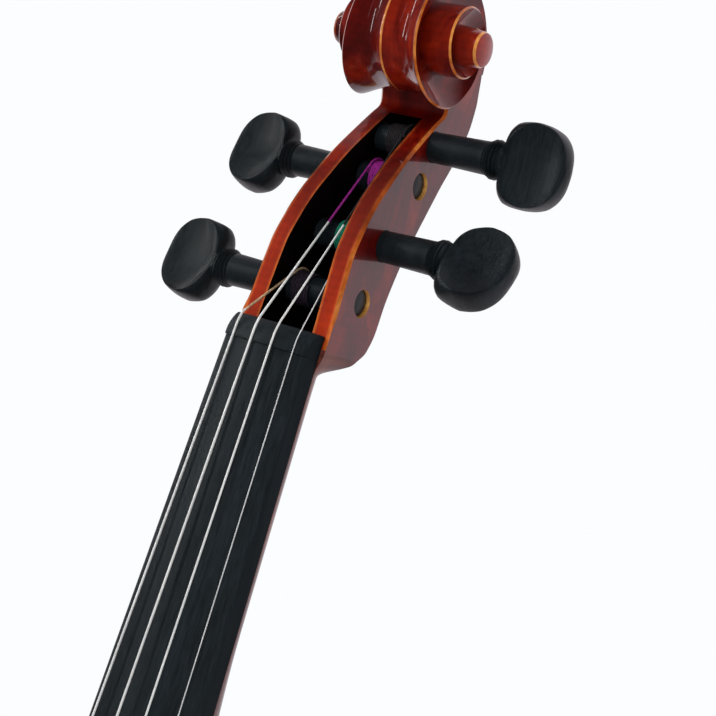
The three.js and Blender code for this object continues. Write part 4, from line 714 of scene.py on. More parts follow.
def scrollEye():
    # the eye's rounded button on both sides, turned round the scroll's axis
    profile = [[0, -21.5], [3.2, -21.4], [4.1, -20.9], [4.4, -20.2], [4.55, -19], [5.1, -15], [5.4, -12]]
    profile += [[r, -h] for r, h in profile[::-1]]
    slots = np.zeros((len(profile) - 1, 72), int)
    slots[[2, -3]] = edgeAndHighlightSlot
    return lathePiece("scrollEye", profile, (0, head["eyeDepth"], head["eyeHeight"]), "x", headFinishes, 72,
                      place=neckPlace, faceSlots=slots)


# the floor's depth and slope at the nut and where it turns up under the scroll; once round its section,
# the way across and the depth are shares, and a depth below zero stands over the front face
well = {"start": 136.12, "wall": 4.9, "floorWall": 4.4, "lean": 0.93, "over": -3, "nutDeep": 6, "nutSlope": 3,
        "bendAt": 192, "bendDeep": 34, "bendSlope": 1.6, "across": [-1, -1, -0.85, -0.6, 0.6, 0.85, 1, 1],
        "share": [-1, 0.86, 0.96, 1, 1, 0.96, 0.86, -1]}


def pegboxWell():
    # the well's sides lean in towards its floor; it follows the back at an even thickness
    low, bend = well["start"], well["bendAt"]
    u = np.concatenate([np.linspace(low, 141, 6), np.linspace(142, head["throat"], 40)])[:, None]
    half = cheekHalf(u) - well["wall"]
    deep = smoothRow(backLine, u) - well["floorWall"]
    deep = np.minimum(deep, well["nutDeep"] + (u - low) * well["nutSlope"])
    deep = np.where(u > bend, np.minimum(deep, well["bendDeep"] - (u - bend) * well["bendSlope"]), deep)
    across, share = np.array(well["across"])[None], np.array(well["share"])[None]
    v = np.where(share < 0, well["over"], deep * share)
    lean = np.where(share < 0, 1.0, well["lean"])
    # the well's cut faces take the near-black painted shade
    return loftPiece("well", neckPlace(half * across * lean, v, u), wellShadeMaterial)


# v and u give a peg's axis; near and far are the ends of its thumb-piece, out from the middle of the pegbox
pegs = {"g": {"v": 10.0, "u": 146.8, "side": -1, "turn": 10, "near": 30.5, "far": 47.6},
        "d": {"v": 21.8, "u": 179.8, "side": -1, "turn": 12, "near": 29.9, "far": 46.7},
        "a": {"v": 23.5, "u": 190.6, "side": 1, "turn": -8, "near": 30.5, "far": 48.3},
        "e": {"v": 13.0, "u": 162.0, "side": 1, "turn": 28, "near": 29.9, "far": 47.6}}
shaft = {"narrow": 3.3, "growth": 0.6, "reach": 13.2, "play": 0.13, "short": 0.8, "bevel": 0.5, "through": 16}


def shaftRadius(out):
    # the shaft grows evenly from the far cheek to the near one
    return shaft["narrow"] + shaft["growth"] * (out + shaft["reach"]) / (2 * shaft["reach"])


def boxPiece(name, low, high, material=headVarnish):
    # a box between two corners given in the body frame
    (x0, y0, z0), (x1, y1, z1) = low, high
    x = np.array([[x0, x1, x1, x0]] * 2, float)
    y = np.array([[y0, y0, y1, y1]] * 2, float)
    z = np.array([[z0] * 4, [z1] * 4], float)
    return loftPiece(name, bodyPlace(x, y, z), material)


neckRoot = {"low": 350, "high": 358.8, "cutHigh": 380, "play": 0.15, "front": -10.28, "back": 30.7,
            "frontHalf": 17, "backHalf": 11}


def neckRootPiece(grow=0.0, high=neckRoot["high"]):
    # the neck's foot in its mortise; grown a little, it cuts the room for itself in belly and ribs
    low = neckRoot["low"] - grow
    z = np.array([low, low, high, high])
    front = neckRoot["front"] - grow + (z - body["length"]) * math.tan(neckTilt)
    rows = []
    for y, half in ((front, neckRoot["frontHalf"]), (neckRoot["back"] + 2 * grow, neckRoot["backHalf"])):
        rows.append(bodyPlace(np.array([-1, 1, 1, -1]) * (half + grow), y, z))
    return loftPiece("root", np.array(rows), headVarnish)


neckPiece = neckAndPegbox()
# two roomy boxes cut off what reaches past the body's upper edge and past the button's seat
belowRoot = boxPiece("below", (-25, -60, 300), (25, 60, body["length"] + 0.3))
behindRoot = boxPiece("behind", (-25, neckRoot["back"], 290), (25, 90, 400))
combine(neckPiece, [belowRoot, behindRoot], "DIFFERENCE")
combine(neckPiece, [neckRootPiece()], "UNION")
combine(neckPiece, [scrollVolute(), scrollEye()], "UNION")
combine(neckPiece, [pegboxWell()], "DIFFERENCE")
for peg in pegs.values():
    # each hole is tapered with its peg and goes through both cheeks
    ends = [[shaftRadius(peg["side"] * x) + shaft["play"], x] for x in (-shaft["through"], shaft["through"])]
    hole = lathePiece("hole", ends, (0, peg["v"], peg["u"]), "x", holeMaterial, place=neckPlace)
    combine(neckPiece, [hole], "DIFFERENCE")
settle(neckPiece, "violin", "varnished_maple", "neck_and_scroll")
print("neck and scroll:", len(neckPiece.data.polygons), "faces")


# Pegs: tapered shaft, ringed collar and a thumb-piece with hollow faces

# way out along the peg and radius
collarRings = [[26.3, 3.9], [26.45, 4.25], [26.8, 4.5], [27.1, 4.25], [27.2, 4.1], [27.3, 4.5], [27.65, 4.95],
               [28.0, 4.55], [28.1, 4.3], [28.2, 4.6], [28.55, 5.0], [28.9, 4.6], [29.0, 4.2], [29.1, 4.4],
               [29.4, 4.7], [29.7, 4.3], [29.85, 3.9]]
# share of the thumb-piece's length, half breadth, half thickness and how far the faces are hollowed
thumbStations = [[0, 3.7, 3.5, 0], [0.008, 6.1, 3.6, 0.0], [0.025, 7.6, 3.75, 0.05], [0.07, 9.0, 3.9, 0.2],
                 [0.15, 10.1, 3.9, 0.36], [0.28, 10.55, 3.8, 0.44], [0.42, 10.65, 3.7, 0.46],
                 [0.56, 10.4, 3.55, 0.44], [0.69, 9.7, 3.4, 0.38], [0.8, 8.45, 3.2, 0.26],
                 [0.88, 6.95, 2.95, 0.12], [0.94, 5.15, 2.5, 0.0], [0.98, 3.0, 1.7, 0], [1, 0.5, 0.4, 0]]
thumb = {"faceHalf": 10.2, "faceReach": 2.14, "faceMost": 0.95}


def pegPiece(name):
    # shaft and collar are round; the thumb-piece has two hollow faces and a rounded rim between them
    peg = pegs[name]
    near, far = peg["near"], peg["far"]
    inner = shaft["short"] - cheekHalf(peg["u"])
    out = [[inner, shaftRadius(inner) - shaft["bevel"]], [inner + 0.15, shaftRadius(inner) - 0.15],
           [inner + shaft["bevel"], shaftRadius(inner)]]
    out = np.array(out + [[x, shaftRadius(x)] for x in np.linspace(-8, 26, 12)] + collarRings)
    a = 0.5 - 0.5 * np.cos(math.pi * np.linspace(0, 1, 64))
    a = np.concatenate([[0.004, 0.012, 0.024], a[4:]])
    flat = np.concatenate([np.zeros(len(out)), ease(a, 0, 0.05)])[:, None]
    place = np.concatenate([out[:, 0], near + a * (far - near)])[:, None]
    breadth = np.concatenate([out[:, 1], smoothRow(thumbStations, a, 1)])[:, None]
    thickness = np.concatenate([out[:, 1], smoothRow(thumbStations, a, 2)])[:, None]
    dish = np.concatenate([0 * out[:, 1], smoothRow(thumbStations, a, 3)])[:, None]
    # one quarter of the section: nine steps over the face, then six round the rim
    face, rim = np.linspace(0, 1, 10)[None], np.linspace(0, math.pi / 2, 7)[None, 1:]
    middle = (place - (near + far) / 2) / (far - near)
    faceHalf = thumb["faceHalf"] * np.sqrt(np.clip(1 - (middle * thumb["faceReach"]) ** 2, 0, 1))
    faceEnd = np.clip(faceHalf / breadth, 0.05, thumb["faceMost"])
    flatY = np.concatenate([face * faceEnd, faceEnd + (1 - faceEnd) * np.sin(rim)], 1)
    flatT = np.concatenate([1 - dish * (1 - face ** 2), np.cos(rim) + 0 * dish], 1)
    bend = np.linspace(0, math.pi / 2, flatY.shape[1])[None]
    y = np.sin(bend) + (flatY - np.sin(bend)) * flat
    t = np.cos(bend) + (flatT - np.cos(bend)) * flat
    ys = np.concatenate([y, y[:, -2::-1], -y[:, 1:], -y[:, -2:0:-1]], 1) * breadth
    ts = np.concatenate([t, -t[:, -2::-1], -t[:, 1:], t[:, -2:0:-1]], 1) * thickness
    spin = math.radians(peg["turn"])
    along, across = ys * math.cos(spin) - ts * math.sin(spin), ys * math.sin(spin) + ts * math.cos(spin)
    grid = neckPlace(peg["side"] * place + 0 * along, peg["v"] + across, peg["u"] + along)
    piece = loftPiece("peg" + name.upper() + "Turned", grid, pegEbony, angle=40)
    return settle(piece, name + "_peg", "ebony", "peg_" + name)


for name in pegs:
    pegPiece(name)
print("pegs are turned")


# Fingerboard and nut

# how far the edge's rounding lies in from the side, and its share of the way down
boardEdge = [[0, 1], [0.06, 0.35], [0.25, 0.08]]


def boardCrown(x, u):
    # the board's top is part of a cylinder through both edges
    half = boardHalf(u)
    return -board["edge"] - np.sqrt(board["radius"] ** 2 - x ** 2) + np.sqrt(board["radius"] ** 2 - half ** 2)


def boardSection(u, soft=0.7):
    # once round: underside with its hollow, right side, crown, left side
    half = boardHalf(u)
    hollow = board["hollow"] * ease(-u, 2, 7)
    across = np.linspace(-1, 1, 21)[None]
    under = -0.02 - hollow * np.sqrt(np.clip(1 - (across / 0.78) ** 2, 0, 1))
    edgeV = boardCrown(half, u)
    crown = (half - soft) * np.linspace(1, -1, 41)[None]
    xs = [half * across] + [half - inset for inset, down in boardEdge] + [crown]
    xs += [inset - half for inset, down in boardEdge[::-1]]
    side = [edgeV + down * soft for inset, down in boardEdge]
    return np.concatenate(xs, 1), np.concatenate([under, *side, boardCrown(crown, u), *side[::-1]], 1)


def boardLoft(name, grid):
    # both sides take a darker, duller copy of the ebony: painted shade
    slots = np.zeros((len(grid) - 1, grid.shape[1]), int)
    slots[:, [20, 21, -2, -1]] = 1
    return loftPiece(name, grid, [boardEbony, shadedSideEbony], slots)


def fingerboardPiece():
    # sections up the neck, the lowest one a little smaller about its middle
    end, top = board["end"], board["top"]
    u = np.concatenate([[end, end + 0.25], np.linspace(end + 1, -9, 60), np.linspace(-8, 0, 17),
                        np.linspace(3, top - 0.2, 50), [top]])[:, None]
    x, v = boardSection(u)
    shrink = np.ones_like(u)
    shrink[0] = 0.985
    middle = v.mean(1, keepdims=True)
    return boardLoft("fingerboardWood", neckPlace(x * shrink, middle + (v - middle) * shrink, u))


settle(fingerboardPiece(), "violin", "ebony", "fingerboard")

stringSet = {"g": {"size": 0.6, "outer": -6.1, "bridge": (-17.04, -46.02), "silk": 136.5},
             "d": {"size": 0.6, "outer": -2.4, "bridge": (-5.682, -48.5), "silk": 163.5},
             "a": {"size": 0.52, "outer": 3.4, "bridge": (5.681, -47.54), "silk": 163.0},
             "e": {"size": 0.28, "outer": 4.6, "bridge": (17.034, -43.63), "silk": 500.0}}
nut = {"spread": 17.5, "rise": 0.5, "sunk": 0.15, "play": 0.12, "soft": 0.5}
# height up the neck, and how far the nut's crown stands off the board's there
nutCrown = [[130.02, -0.25], [130.1, -0.45], [130.5, -0.5], [131.2, -0.47], [132.2, -0.3], [133.2, 0.05],
            [134.2, 0.55], [135.0, 1.1], [135.6, 1.6], [135.9, 2.0], [136.0, 2.3]]
tail = {"low": 8.3, "length": 100.0, "fret": 106.5, "fretRise": 1.6, "halfTop": 20.5, "halfEnd": 11.0,
        "edge": 3.4, "spread": 27.88, "under": 10.5, "underRise": 11.5, "crown": 5, "crownRise": 2.5,
        "slotHalf": 0.75, "slotLength": 9, "keyhole": 2.3, "cut": (-45, 0)}
for place, string in enumerate(stringSet.values()):
    string["x"] = nut["spread"] * (place / 3 - 0.5)
    string["tail"] = tail["spread"] * (place / 3 - 0.5)
    string["bend"] = boardCrown(string["x"], board["nutAt"]) - nut["rise"] - string["size"] / 2 + nut["sunk"]


def nutPiece():
    # the nut's crown stands half a millimetre over the board and falls away to the pegbox
    u, fall = (np.array(nutCrown)[:, k, None] for k in (0, 1))
    x, v = boardSection(board["nutAt"] + 0 * u, nut["soft"])
    v = np.where(v < -1, v + fall, v)
    piece = boardLoft("nutBlank", neckPlace(x, v, u))
    for string in stringSet.values():
        down = np.array([0.06, 0.06, 0.5, 2.4])
        path = neckPlace(string["x"], string["bend"] + down, [128.5, 131.5, 134.0, 137.5])
        reach = string["size"] / 2 + nut["play"]
        combine(piece, [tubePiece("groove", path, reach / 1000, 16, [boardEbony, shadedSideEbony])], "DIFFERENCE")
    return piece


settle(nutPiece(), "violin", "ebony", "nut")
print("fingerboard and nut are shaped")


# Strings and their turns on the pegs

def tailpieceAt(z):
    # underside, half width and crown of the tailpiece, growing from its lower end to its upper one
    share = np.clip((z - tail["low"]) / tail["length"], 0, 1)
    under = -(tail["under"] + tail["underRise"] * share)
    half = tail["halfEnd"] + (tail["halfTop"] - tail["halfEnd"]) * share ** 1.2
    return under, half, under - tail["crown"] - tail["crownRise"] * share


def tailpieceTop(x, z):
    # an ellipse over the width, standing on the side's height
    under, half, crown = tailpieceAt(z)
    edge = under - tail["edge"]
    return edge + (crown - edge) * np.sqrt(np.clip(1 - (x / half) ** 2, 0, 1))


def rounded(points, reach):
    # each inner corner becomes a short curve
    points = np.asarray(points, float)
    out = [points[0]]
    for a, b, c in zip(points[:-2], points[1:-1], points[2:]):
        near = min(reach, 0.45 * np.linalg.norm(a - b), 0.45 * np.linalg.norm(c - b))
        p = b + (a - b) / np.linalg.norm(a - b) * near
        q = b + (c - b) / np.linalg.norm(c - b) * near
        out += [p * (1 - t) ** 2 + 2 * b * t * (1 - t) + q * t * t for t in np.linspace(0, 1, 7)]
    return np.array(out + [points[-1]])


def toNeck(x, y, z):
    # a place of the body frame given in the neck frame
    world = bodyPlace(x, y, z) * 1000 - neckShift
    v = world[..., 1] * math.cos(neckTilt) - world[..., 2] * math.sin(neckTilt)
    u = world[..., 1] * math.sin(neckTilt) + world[..., 2] * math.cos(neckTilt)
    return np.stack([world[..., 0], v, u], -1)


coilSet = {"least": 0.5, "width": 5.1, "pitch": 1.06, "steps": 44, "gap": 0.03}


def stringPiece(name):
    # a bent line over tailpiece, bridge and nut, then straight to the peg, where it meets the turns' circle
    # without a corner and follows it for nearly a quarter turn
    string, peg = stringSet[name], pegs[name]
    r, x, fret = string["size"] / 2, string["tail"], tail["fret"]
    wound = max(string["size"], coilSet["least"])
    if name == "e":
        start = [[14.35, float(tailpieceTop(15.6, fret)) - 5, fret + 3.2]]
    else:
        over = float(tailpieceTop(x, fret)) - tail["fretRise"] - 0.06 - r
        start = [[x, float(tailpieceAt(fret)[0]) - 2 * r, fret - tail["slotLength"]],
                 [x, float(tailpieceTop(x, fret - 4.5)) - r, fret - 4.5],
                 [x, over, fret - 0.6], [x, over, fret + 0.6]]
    start.append([*string["bridge"], body["bridgeAt"]])
    points = [toNeck(*np.array(p, float)) for p in start]
    last = [string["x"], string["bend"] + 0.9, 136.2]
    points += [[string["x"], string["bend"], 130.3], [string["x"], string["bend"] + 0.1, 133.6], last]
    reach = shaftRadius(peg["side"] * string["outer"]) + wound + r + 0.08
    toPeg = np.array([peg["v"] - last[1], peg["u"] - last[2]])
    meet = math.atan2(toPeg[1], toPeg[0]) - math.acos(reach / np.linalg.norm(toPeg)) + math.pi
    path = rounded(np.array(points), 3.0)
    bend = meet - np.arange(13) * math.pi / 27
    wrap = [string["outer"] + 0 * bend, peg["v"] + reach * np.cos(bend), peg["u"] + reach * np.sin(bend)]
    wrap = np.stack(wrap, 1)
    first = path[-1] + (wrap[0] - path[-1]) * np.linspace(0.05, 0.95, 40)[:, None]
    path = np.concatenate([path, first, wrap])
    sides = 14
    slots = np.repeat((path[:-1, 2] > string["silk"]).astype(int), sides)
    finishes = [plainSteel if name == "e" else stringSteel, gutBeige if name == "g" else silks[name]]
    path = neckPlace(*path.T)
    piece = tubePiece("string" + name.upper() + "Length", path, r / 1000, sides, finishes, slots)
    settle(piece, "violin", "string_steel", "string_" + name)

    # the turns lie side by side on the peg: a helix whose radius follows the shaft
    pitch = coilSet["pitch"] * wound
    turns = coilSet["width"] / pitch
    s = np.linspace(0, turns, int(coilSet["steps"] * turns))
    bend = 2 * math.pi * s
    x = string["outer"] - peg["side"] * pitch * s
    radius = shaftRadius(peg["side"] * x) + wound / 2 + coilSet["gap"]
    coil = neckPlace(x, peg["v"] - radius * np.cos(bend), peg["u"] + radius * np.sin(bend))
    piece = tubePiece("string" + name.upper() + "Turns", coil, wound / 2000, 12, silks[name])
    settle(piece, name + "_peg", name + "_silk", "string_" + name + "_winding")


for name in stringSet:
    stringPiece(name)
print("strings are drawn")

# the nodes that keep their own form take bare wood
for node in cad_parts.values():
    if not node.data.materials:
        node.data.materials.append(bareSpruce)


# Body: belly, back and ribs

# both ends (x, z) of each run of the treble side, from the lower edge up, and its two handles as shares
# of the box between the ends
outlineRuns = [[(12, 0), (104, 74.01), (0.5, 0), (1, 0.42)],
               [(104, 74.01), (92.5, 131.5), (0, 0.42), (1.55, 0.62)],
               [(88.5, 137), (56, 197.01), (0.785, 0.01), (1, 0.43)],
               [(56, 197.01), (76, 237.5), (0, 0.49), (0.18, 0.975)],
               [(78, 243), (84, 290), (-0.75, 0.3), (1, 0.62)], [(84, 290), (12, 356), (0, 0.55), (0.55, 1)]]


def runPoints(run, at):
    # a cubic curve whose two handles are shares of the box between its ends; points and left-hand sides
    start, end, one, two = (np.array(p, float) for p in run)
    p1, p2 = start + (end - start) * one, start + (end - start) * two
    t = np.asarray(at, float)[:, None]
    points = start * (1 - t) ** 3 + 3 * p1 * t * (1 - t) ** 2 + 3 * p2 * t * t * (1 - t) + end * t ** 3
    along = 3 * (p1 - start) * (1 - t) ** 2 + 6 * (p2 - p1) * t * (1 - t) + 3 * (end - p2) * t * t
    along /= np.linalg.norm(along, axis=1)[:, None]
    return points, np.stack([-along[:, 1], along[:, 0]], 1)


def bodyOutline():
    # up the treble side; the corners are cut straight across
    parts = []
    for k, run in enumerate(outlineRuns):
        parts.append(runPoints(run, np.linspace(0, 1, 61))[0])
        if k in (1, 3):
            end = np.array(outlineRuns[k + 1][0], float)
            parts.append(parts[-1][-1] + (end - parts[-1][-1]) * np.linspace(0.08, 0.92, 12)[:, None])
    points = np.concatenate(parts)
    keep = np.concatenate([[True], np.linalg.norm(np.diff(points, axis=0), axis=1) > 1e-6])
    points = points[keep]
    points[:, 1] = np.maximum.accumulate(points[:, 1])
    return points


rim = bodyOutline()


def rimDistance(x, z):
    # least distance from the outline's straight pieces
    closed = np.concatenate([rim, (rim * [-1, 1])[::-1], rim[:1]])
    a, b = closed[:-1], closed[1:]
    points = np.stack([np.ravel(x), np.ravel(z)], 1)
    out = np.empty(len(points))
    step = b - a
    size = np.maximum((step ** 2).sum(1), 1e-12)
    for start in range(0, len(points), 4000):
        part = points[start:start + 4000, None] - a[None]
        t = np.clip((part * step).sum(2) / size, 0, 1)
        out[start:start + 4000] = np.sqrt(((part - t[..., None] * step) ** 2).sum(2).min(1))
    return out.reshape(np.shape(x))


archKnots = np.array([[0, 0.62 * body["lowerHalf"]], [body["lowerAt"], body["lowerHalf"]],
                      [body["waistAt"], body["waistHalf"]], [body["upperAt"], body["upperHalf"]],
                      [body["length"], 0.62 * body["upperHalf"]]])
channel = {"depth": 0.75, "at": 6.5, "width": 3.0, "round": 1.5}


def archHalf(z):
    # the arching's half width swings between the widest places and the waist
    k = np.clip(np.searchsorted(archKnots[:, 0], z), 1, 4)
    low, high = archKnots[k - 1], archKnots[k]
    share = np.clip((z - low[..., 0]) / (high - low)[..., 0], 0, 1)
    return low[..., 1] + (high - low)[..., 1] * (0.5 - 0.5 * np.cos(math.pi * share))


def archShare(x, z):
    # 1 on the middle of the plate: a cosine bell across, and a flat curve that drops at both ends
    across = np.minimum(1, np.abs(x) / archHalf(z))
    along = np.minimum(1, np.abs(2 * z / body["length"] - 1))
    return (0.5 + 0.5 * np.cos(math.pi * across ** 1.15)) * (1 - along ** 3.2)


def plateHeight(x, z, rise, distance=None):
    # edge bead, channel inside the purfling, then the arch; the outer edge is rounded over
    d = rimDistance(x, z) if distance is None else distance
    bead = channel["round"]
    over = bead - np.sqrt(np.clip(bead ** 2 - (bead - np.minimum(d, bead)) ** 2, 0, None))
    hollow = channel["depth"] * np.exp(-((d - channel["at"]) / channel["width"]) ** 2)
    return body["edge"] + rise * archShare(x, z) - hollow - over


def archedPiece(name, glued, outwards, rise, material):
    # a grid from rim to rim, denser at the edge; the outside is the plate's height over the glued face,
    # and the inside lies a plate's thickness under it and is flat where it is glued
    offsets = np.array([0, 0.2, 0.5, 0.9, 1.5, 2.3, 3.1, 3.6, 4.0, 4.4, 4.8, 5.2, 5.8, 6.8, 8.2, 10])
    inside = np.linspace(0, 1, 20)[1:]
    outer = rim[:, 0, None] - offsets[None]
    inner = outer[:, -1:] * (1 - inside[None])
    right = np.concatenate([outer, inner], 1)
    x = np.concatenate([right, -right[:, -2::-1]], 1)
    z = rim[:, 1, None] + 0 * x
    d = rimDistance(x, z)
    top = plateHeight(x, z, rise, d)
    under = np.maximum(top - body["plate"], 0) * ease(d, *body["flat"])
    rows, columns = x.shape
    upper = bodyPlace(x, glued + outwards * top, z).reshape(-1, 3)
    lower = bodyPlace(x, glued + outwards * under, z).reshape(-1, 3)
    faces = gridFaces(rows, columns, closed=False)
    border = np.concatenate([np.arange(columns), np.arange(1, rows) * columns + columns - 1,
                             (rows - 1) * columns + np.arange(columns - 2, -1, -1),
                             np.arange(rows - 2, 0, -1) * columns])
    count = rows * columns
    side = np.stack([border, np.roll(border, -1), np.roll(border, -1) + count, border + count], -1)
    allFaces = np.concatenate([faces, faces[:, ::-1] + count, side])
    return makePiece(name, np.concatenate([upper, lower]), allFaces, material, angle=50, weld=1e-6)


def writeRim(piece):
    # each point's distance from the outline, in centimetres, for the purfling and the worn edge
    points = meshPoints(piece.data) * 1000 - bodyShift
    layer = piece.data.attributes.new("rim", "FLOAT", "POINT")
    layer.data.foreach_set("value", (rimDistance(points[:, 0], points[:, 2]) / 10).astype(np.float32))


def plateVarnish(name, dark, middle, bright, spruce):
    # clouded varnish over spruce lines or maple flames; worn edge and purfling follow the distance to the rim
    wood = Finish(name, roughness=0.4, specular=0.2, coat=0.9, coatRoughness=0.07)
    cloud = wood.noise((9, 9, 6), 4, 0.55, 0.3)
    colour = wood.ramp(cloud, [(0.3, dark), (0.5, middle), (0.72, bright)])
    if spruce:
        lines = wood.wave((210, 20, 1.5), 1.6, 2, 0.7, "X")
        tones = [(0.0, (1.08, 1.05, 1.0)), (0.6, (0.95, 0.9, 0.84)), (0.9, (0.62, 0.5, 0.4))]
        grain = wood.ramp(lines, tones)
        colour = wood.mix(0.75, colour, grain, "MULTIPLY")
    else:
        stripes = wood.noise((11, 11, 150), 2, 0.5, 1.2, (0, 0.12, 0))
        tones = [(0.36, (0.5, 0.4, 0.34)), (0.5, (0.95, 0.9, 0.85)), (0.62, (1.4, 1.36, 1.25))]
        grain = wood.ramp(stripes, tones)
        colour = wood.mix(0.7, colour, grain, "MULTIPLY")
        fine = wood.noise((900, 900, 26), 3, 0.6)
        colour = wood.mix(0.3, colour, wood.ramp(fine, [(0.3, 0.6), (0.65, 1.1)]), "MULTIPLY")
    rimPlace = wood.attribute("rim")
    worn = wood.ramp(rimPlace, [(0.0, 0.75), (0.13, 0.35), (0.28, 0.0)])
    colour = wood.mix(worn, colour, bright)
    pale = wood.ramp(rimPlace, [(0.418, 0.0), (0.424, 1.0), (0.476, 1.0), (0.482, 0.0)])
    colour = wood.mix(pale, colour, (0.3, 0.12, 0.035))
    black = wood.ramp(rimPlace, [(0.376, 0.0), (0.382, 1.0), (0.418, 1.0), (0.424, 0.0), (0.476, 0.0),
                                 (0.482, 1.0), (0.518, 1.0), (0.524, 0.0)])
    colour = wood.mix(black, colour, (0.006, 0.004, 0.003))
    pores = wood.noise((700, 700, 40), 2)
    return wood.done(colour, None, wood.bump(pores, 0.08, 0.0002))


bellyVarnish = plateVarnish("bellyVarnish", (0.15, 0.018, 0.003), (0.29, 0.046, 0.006), (0.47, 0.12, 0.018),
                            True)
backVarnish = plateVarnish("backVarnish", (0.12, 0.012, 0.002), (0.28, 0.045, 0.006), (0.5, 0.13, 0.02),
                           False)


def prismPiece(name, outline, low, high, material):
    # a flat outline (x, z) of the body frame carried from y low to y high
    outline = np.array(outline, float)
    rows = [bodyPlace(outline[:, 0], y, outline[:, 1]) for y in (low, high)]
    return loftPiece(name, np.array(rows), material)


soundHole = {"x": 38.8, "spread": 32, "length": 70, "half": 3.2, "upper": 3.3, "lower": 4.5, "points": 91,
             "cut": (-22, 3)}
# the slot's middle line: shares of the spread and of the length, and of the slot's half width
soundLine = [[-0.456, 0.421, 0.44], [-0.353, 0.489, 0.5], [-0.203, 0.421, 0.81], [-0.113, 0.243, 0.97],
             [0, 0, 1], [0.163, -0.229, 0.97], [0.306, -0.414, 0.81], [0.444, -0.477, 0.53],
             [0.563, -0.414, 0.47]]


def through(points, count):
    # a smooth line through the points, each column on its own
    points = np.array(points, float)
    padded = np.concatenate([2 * points[:1] - points[1:2], points, 2 * points[-1:] - points[-2:-1]])
    at = np.linspace(0, len(points) - 1, count)
    k = np.clip(at.astype(int), 0, len(points) - 2)
    t = (at - k)[:, None]
    a, b, c, d = (padded[k + i] for i in range(4))
    square, cube = 2 * a - 5 * b + 4 * c - d, 3 * b - a - 3 * c + d
    return 0.5 * (2 * b + (c - a) * t + square * t ** 2 + cube * t ** 3)


def ringOutline(x, z, radius, count=40):
    turn = 2 * math.pi * np.arange(count) / count
    return np.stack([x + radius * np.cos(turn), z + radius * np.sin(turn)], 1)


def soundHoleCutter(side):
    # a band along the middle line, as wide as its share says, with a round eye at each end
    count = soundHole["points"]
    line = through(soundLine, count)
    path = [soundHole["x"], body["bridgeAt"]] + line[:, :2] * [soundHole["spread"], soundHole["length"]]
    along = np.gradient(path, axis=0)
    along /= np.linalg.norm(along, axis=1)[:, None]
    left = np.stack([-along[:, 1], along[:, 0]], 1) * (line[:, 2] * soundHole["half"])[:, None]
    # a small nick on each edge halfway up marks the bridge's place
    nick = 1 + 0.5 * np.exp(-((np.arange(count) - count // 2) / 0.8) ** 2)
    left = left * nick[:, None]
    band = np.concatenate([path + left, (path - left)[::-1]]) * [side, 1]
    low, high = soundHole["cut"]
    cutter = prismPiece("soundBand", band, low, high, bellyVarnish)
    for end, radius in ((path[0], soundHole["upper"]), (path[-1], soundHole["lower"])):
        eye = ringOutline(*end, radius) * [side, 1]
        eye = prismPiece("soundEye", eye, low - 0.5, high + 0.5, bellyVarnish)
        combine(cutter, [eye], "UNION")
    return cutter


belly = archedPiece("bellyPlate", 0, -1, body["rise"], bellyVarnish)
for side in (1, -1):
    combine(belly, [soundHoleCutter(side)], "DIFFERENCE", "MANIFOLD", 50)
saddleRoom = {"low": (-17.7, -20, -3), "high": (17.7, 3, 8.2)}
saddleNotch = boxPiece("notch", saddleRoom["low"], saddleRoom["high"])
rootNotch = neckRootPiece(neckRoot["play"], neckRoot["cutHigh"])
combine(belly, [rootNotch, saddleNotch], "DIFFERENCE", "MANIFOLD", 50)
writeRim(belly)
settle(belly, "violin", "varnished_spruce", "belly")

button = {"half": 11, "at": 358, "root": 352, "thick": 3.98}


def backPiece():
    # the back with its button, a half round tab under the neck's heel
    back = archedPiece("backPlate", body["rib"], 1, body["backRise"], backVarnish)
    bend = np.arange(25) * math.pi / 24
    tab = np.stack([button["half"] * np.cos(bend), button["at"] + button["half"] * np.sin(bend)], 1)
    outline = np.concatenate([[[-button["half"], button["root"]], [button["half"], button["root"]]], tab])
    low, high = body["rib"] + body["glueGap"], body["rib"] + button["thick"]
    tabPiece = prismPiece("button", outline, low, high, backVarnish)
    softenEdges(tabPiece, 0.8)
    combine(back, [tabPiece], "UNION", "MANIFOLD", 50)
    writeRim(back)
    return back


settle(backPiece(), "violin", "varnished_maple", "back_plate")
print("belly and back are arched")


def ribPiece(bout, runs, side, start=None):
    # a bent strip between two insets of the outline, thin and as high as the blocks
    pairs = [runPoints(outlineRuns[run], np.linspace(low, high, 60)) for run, low, high in runs]
    points, lefts = (np.concatenate([pairs[0][k]] + [pair[k][1:] for pair in pairs[1:]]) for k in (0, 1))
    inset, thick = body["overhang"], body["ribThickness"]
    outer, inner = points + lefts * inset, points + lefts * (inset + thick)
    if start is not None:
        outer, inner = np.insert(outer, 0, [start, inset], 0), np.insert(inner, 0, [start, inset + thick], 0)
    low, high = body["glueGap"], body["rib"] - body["glueGap"]
    x, z = (np.stack([outer[:, k], outer[:, k], inner[:, k], inner[:, k]], 1) for k in (0, 1))
    grid = bodyPlace(x * side, np.array([low, high, high, low]), z)
    piece = loftPiece("rib" + bout.capitalize() + ("Treble" if side > 0 else "Bass"), grid, ribVarnish)
    if bout == "upper":
        combine(piece, [neckRootPiece(neckRoot["play"], neckRoot["cutHigh"])], "DIFFERENCE")
    settle(piece, "violin", "varnished_maple", "rib_" + bout + ("_treble" if side > 0 else "_bass"))


for side in (1, -1):
    ribPiece("lower", [(0, 0, 1), (1, 0, 0.995)], side, start=0.03)
    ribPiece("middle", [(2, 0.035, 1), (3, 0, 0.965)], side)
    ribPiece("upper", [(4, 0.005, 1), (5, 0, 1)], side)
print("ribs are bent")


# Bridge, tailpiece and what holds it

def bellySkin(x, z):
    # the belly's outside as a place in the body frame
    x = np.asarray(x, float)
    return -plateHeight(x, z + 0 * x, body["rise"])


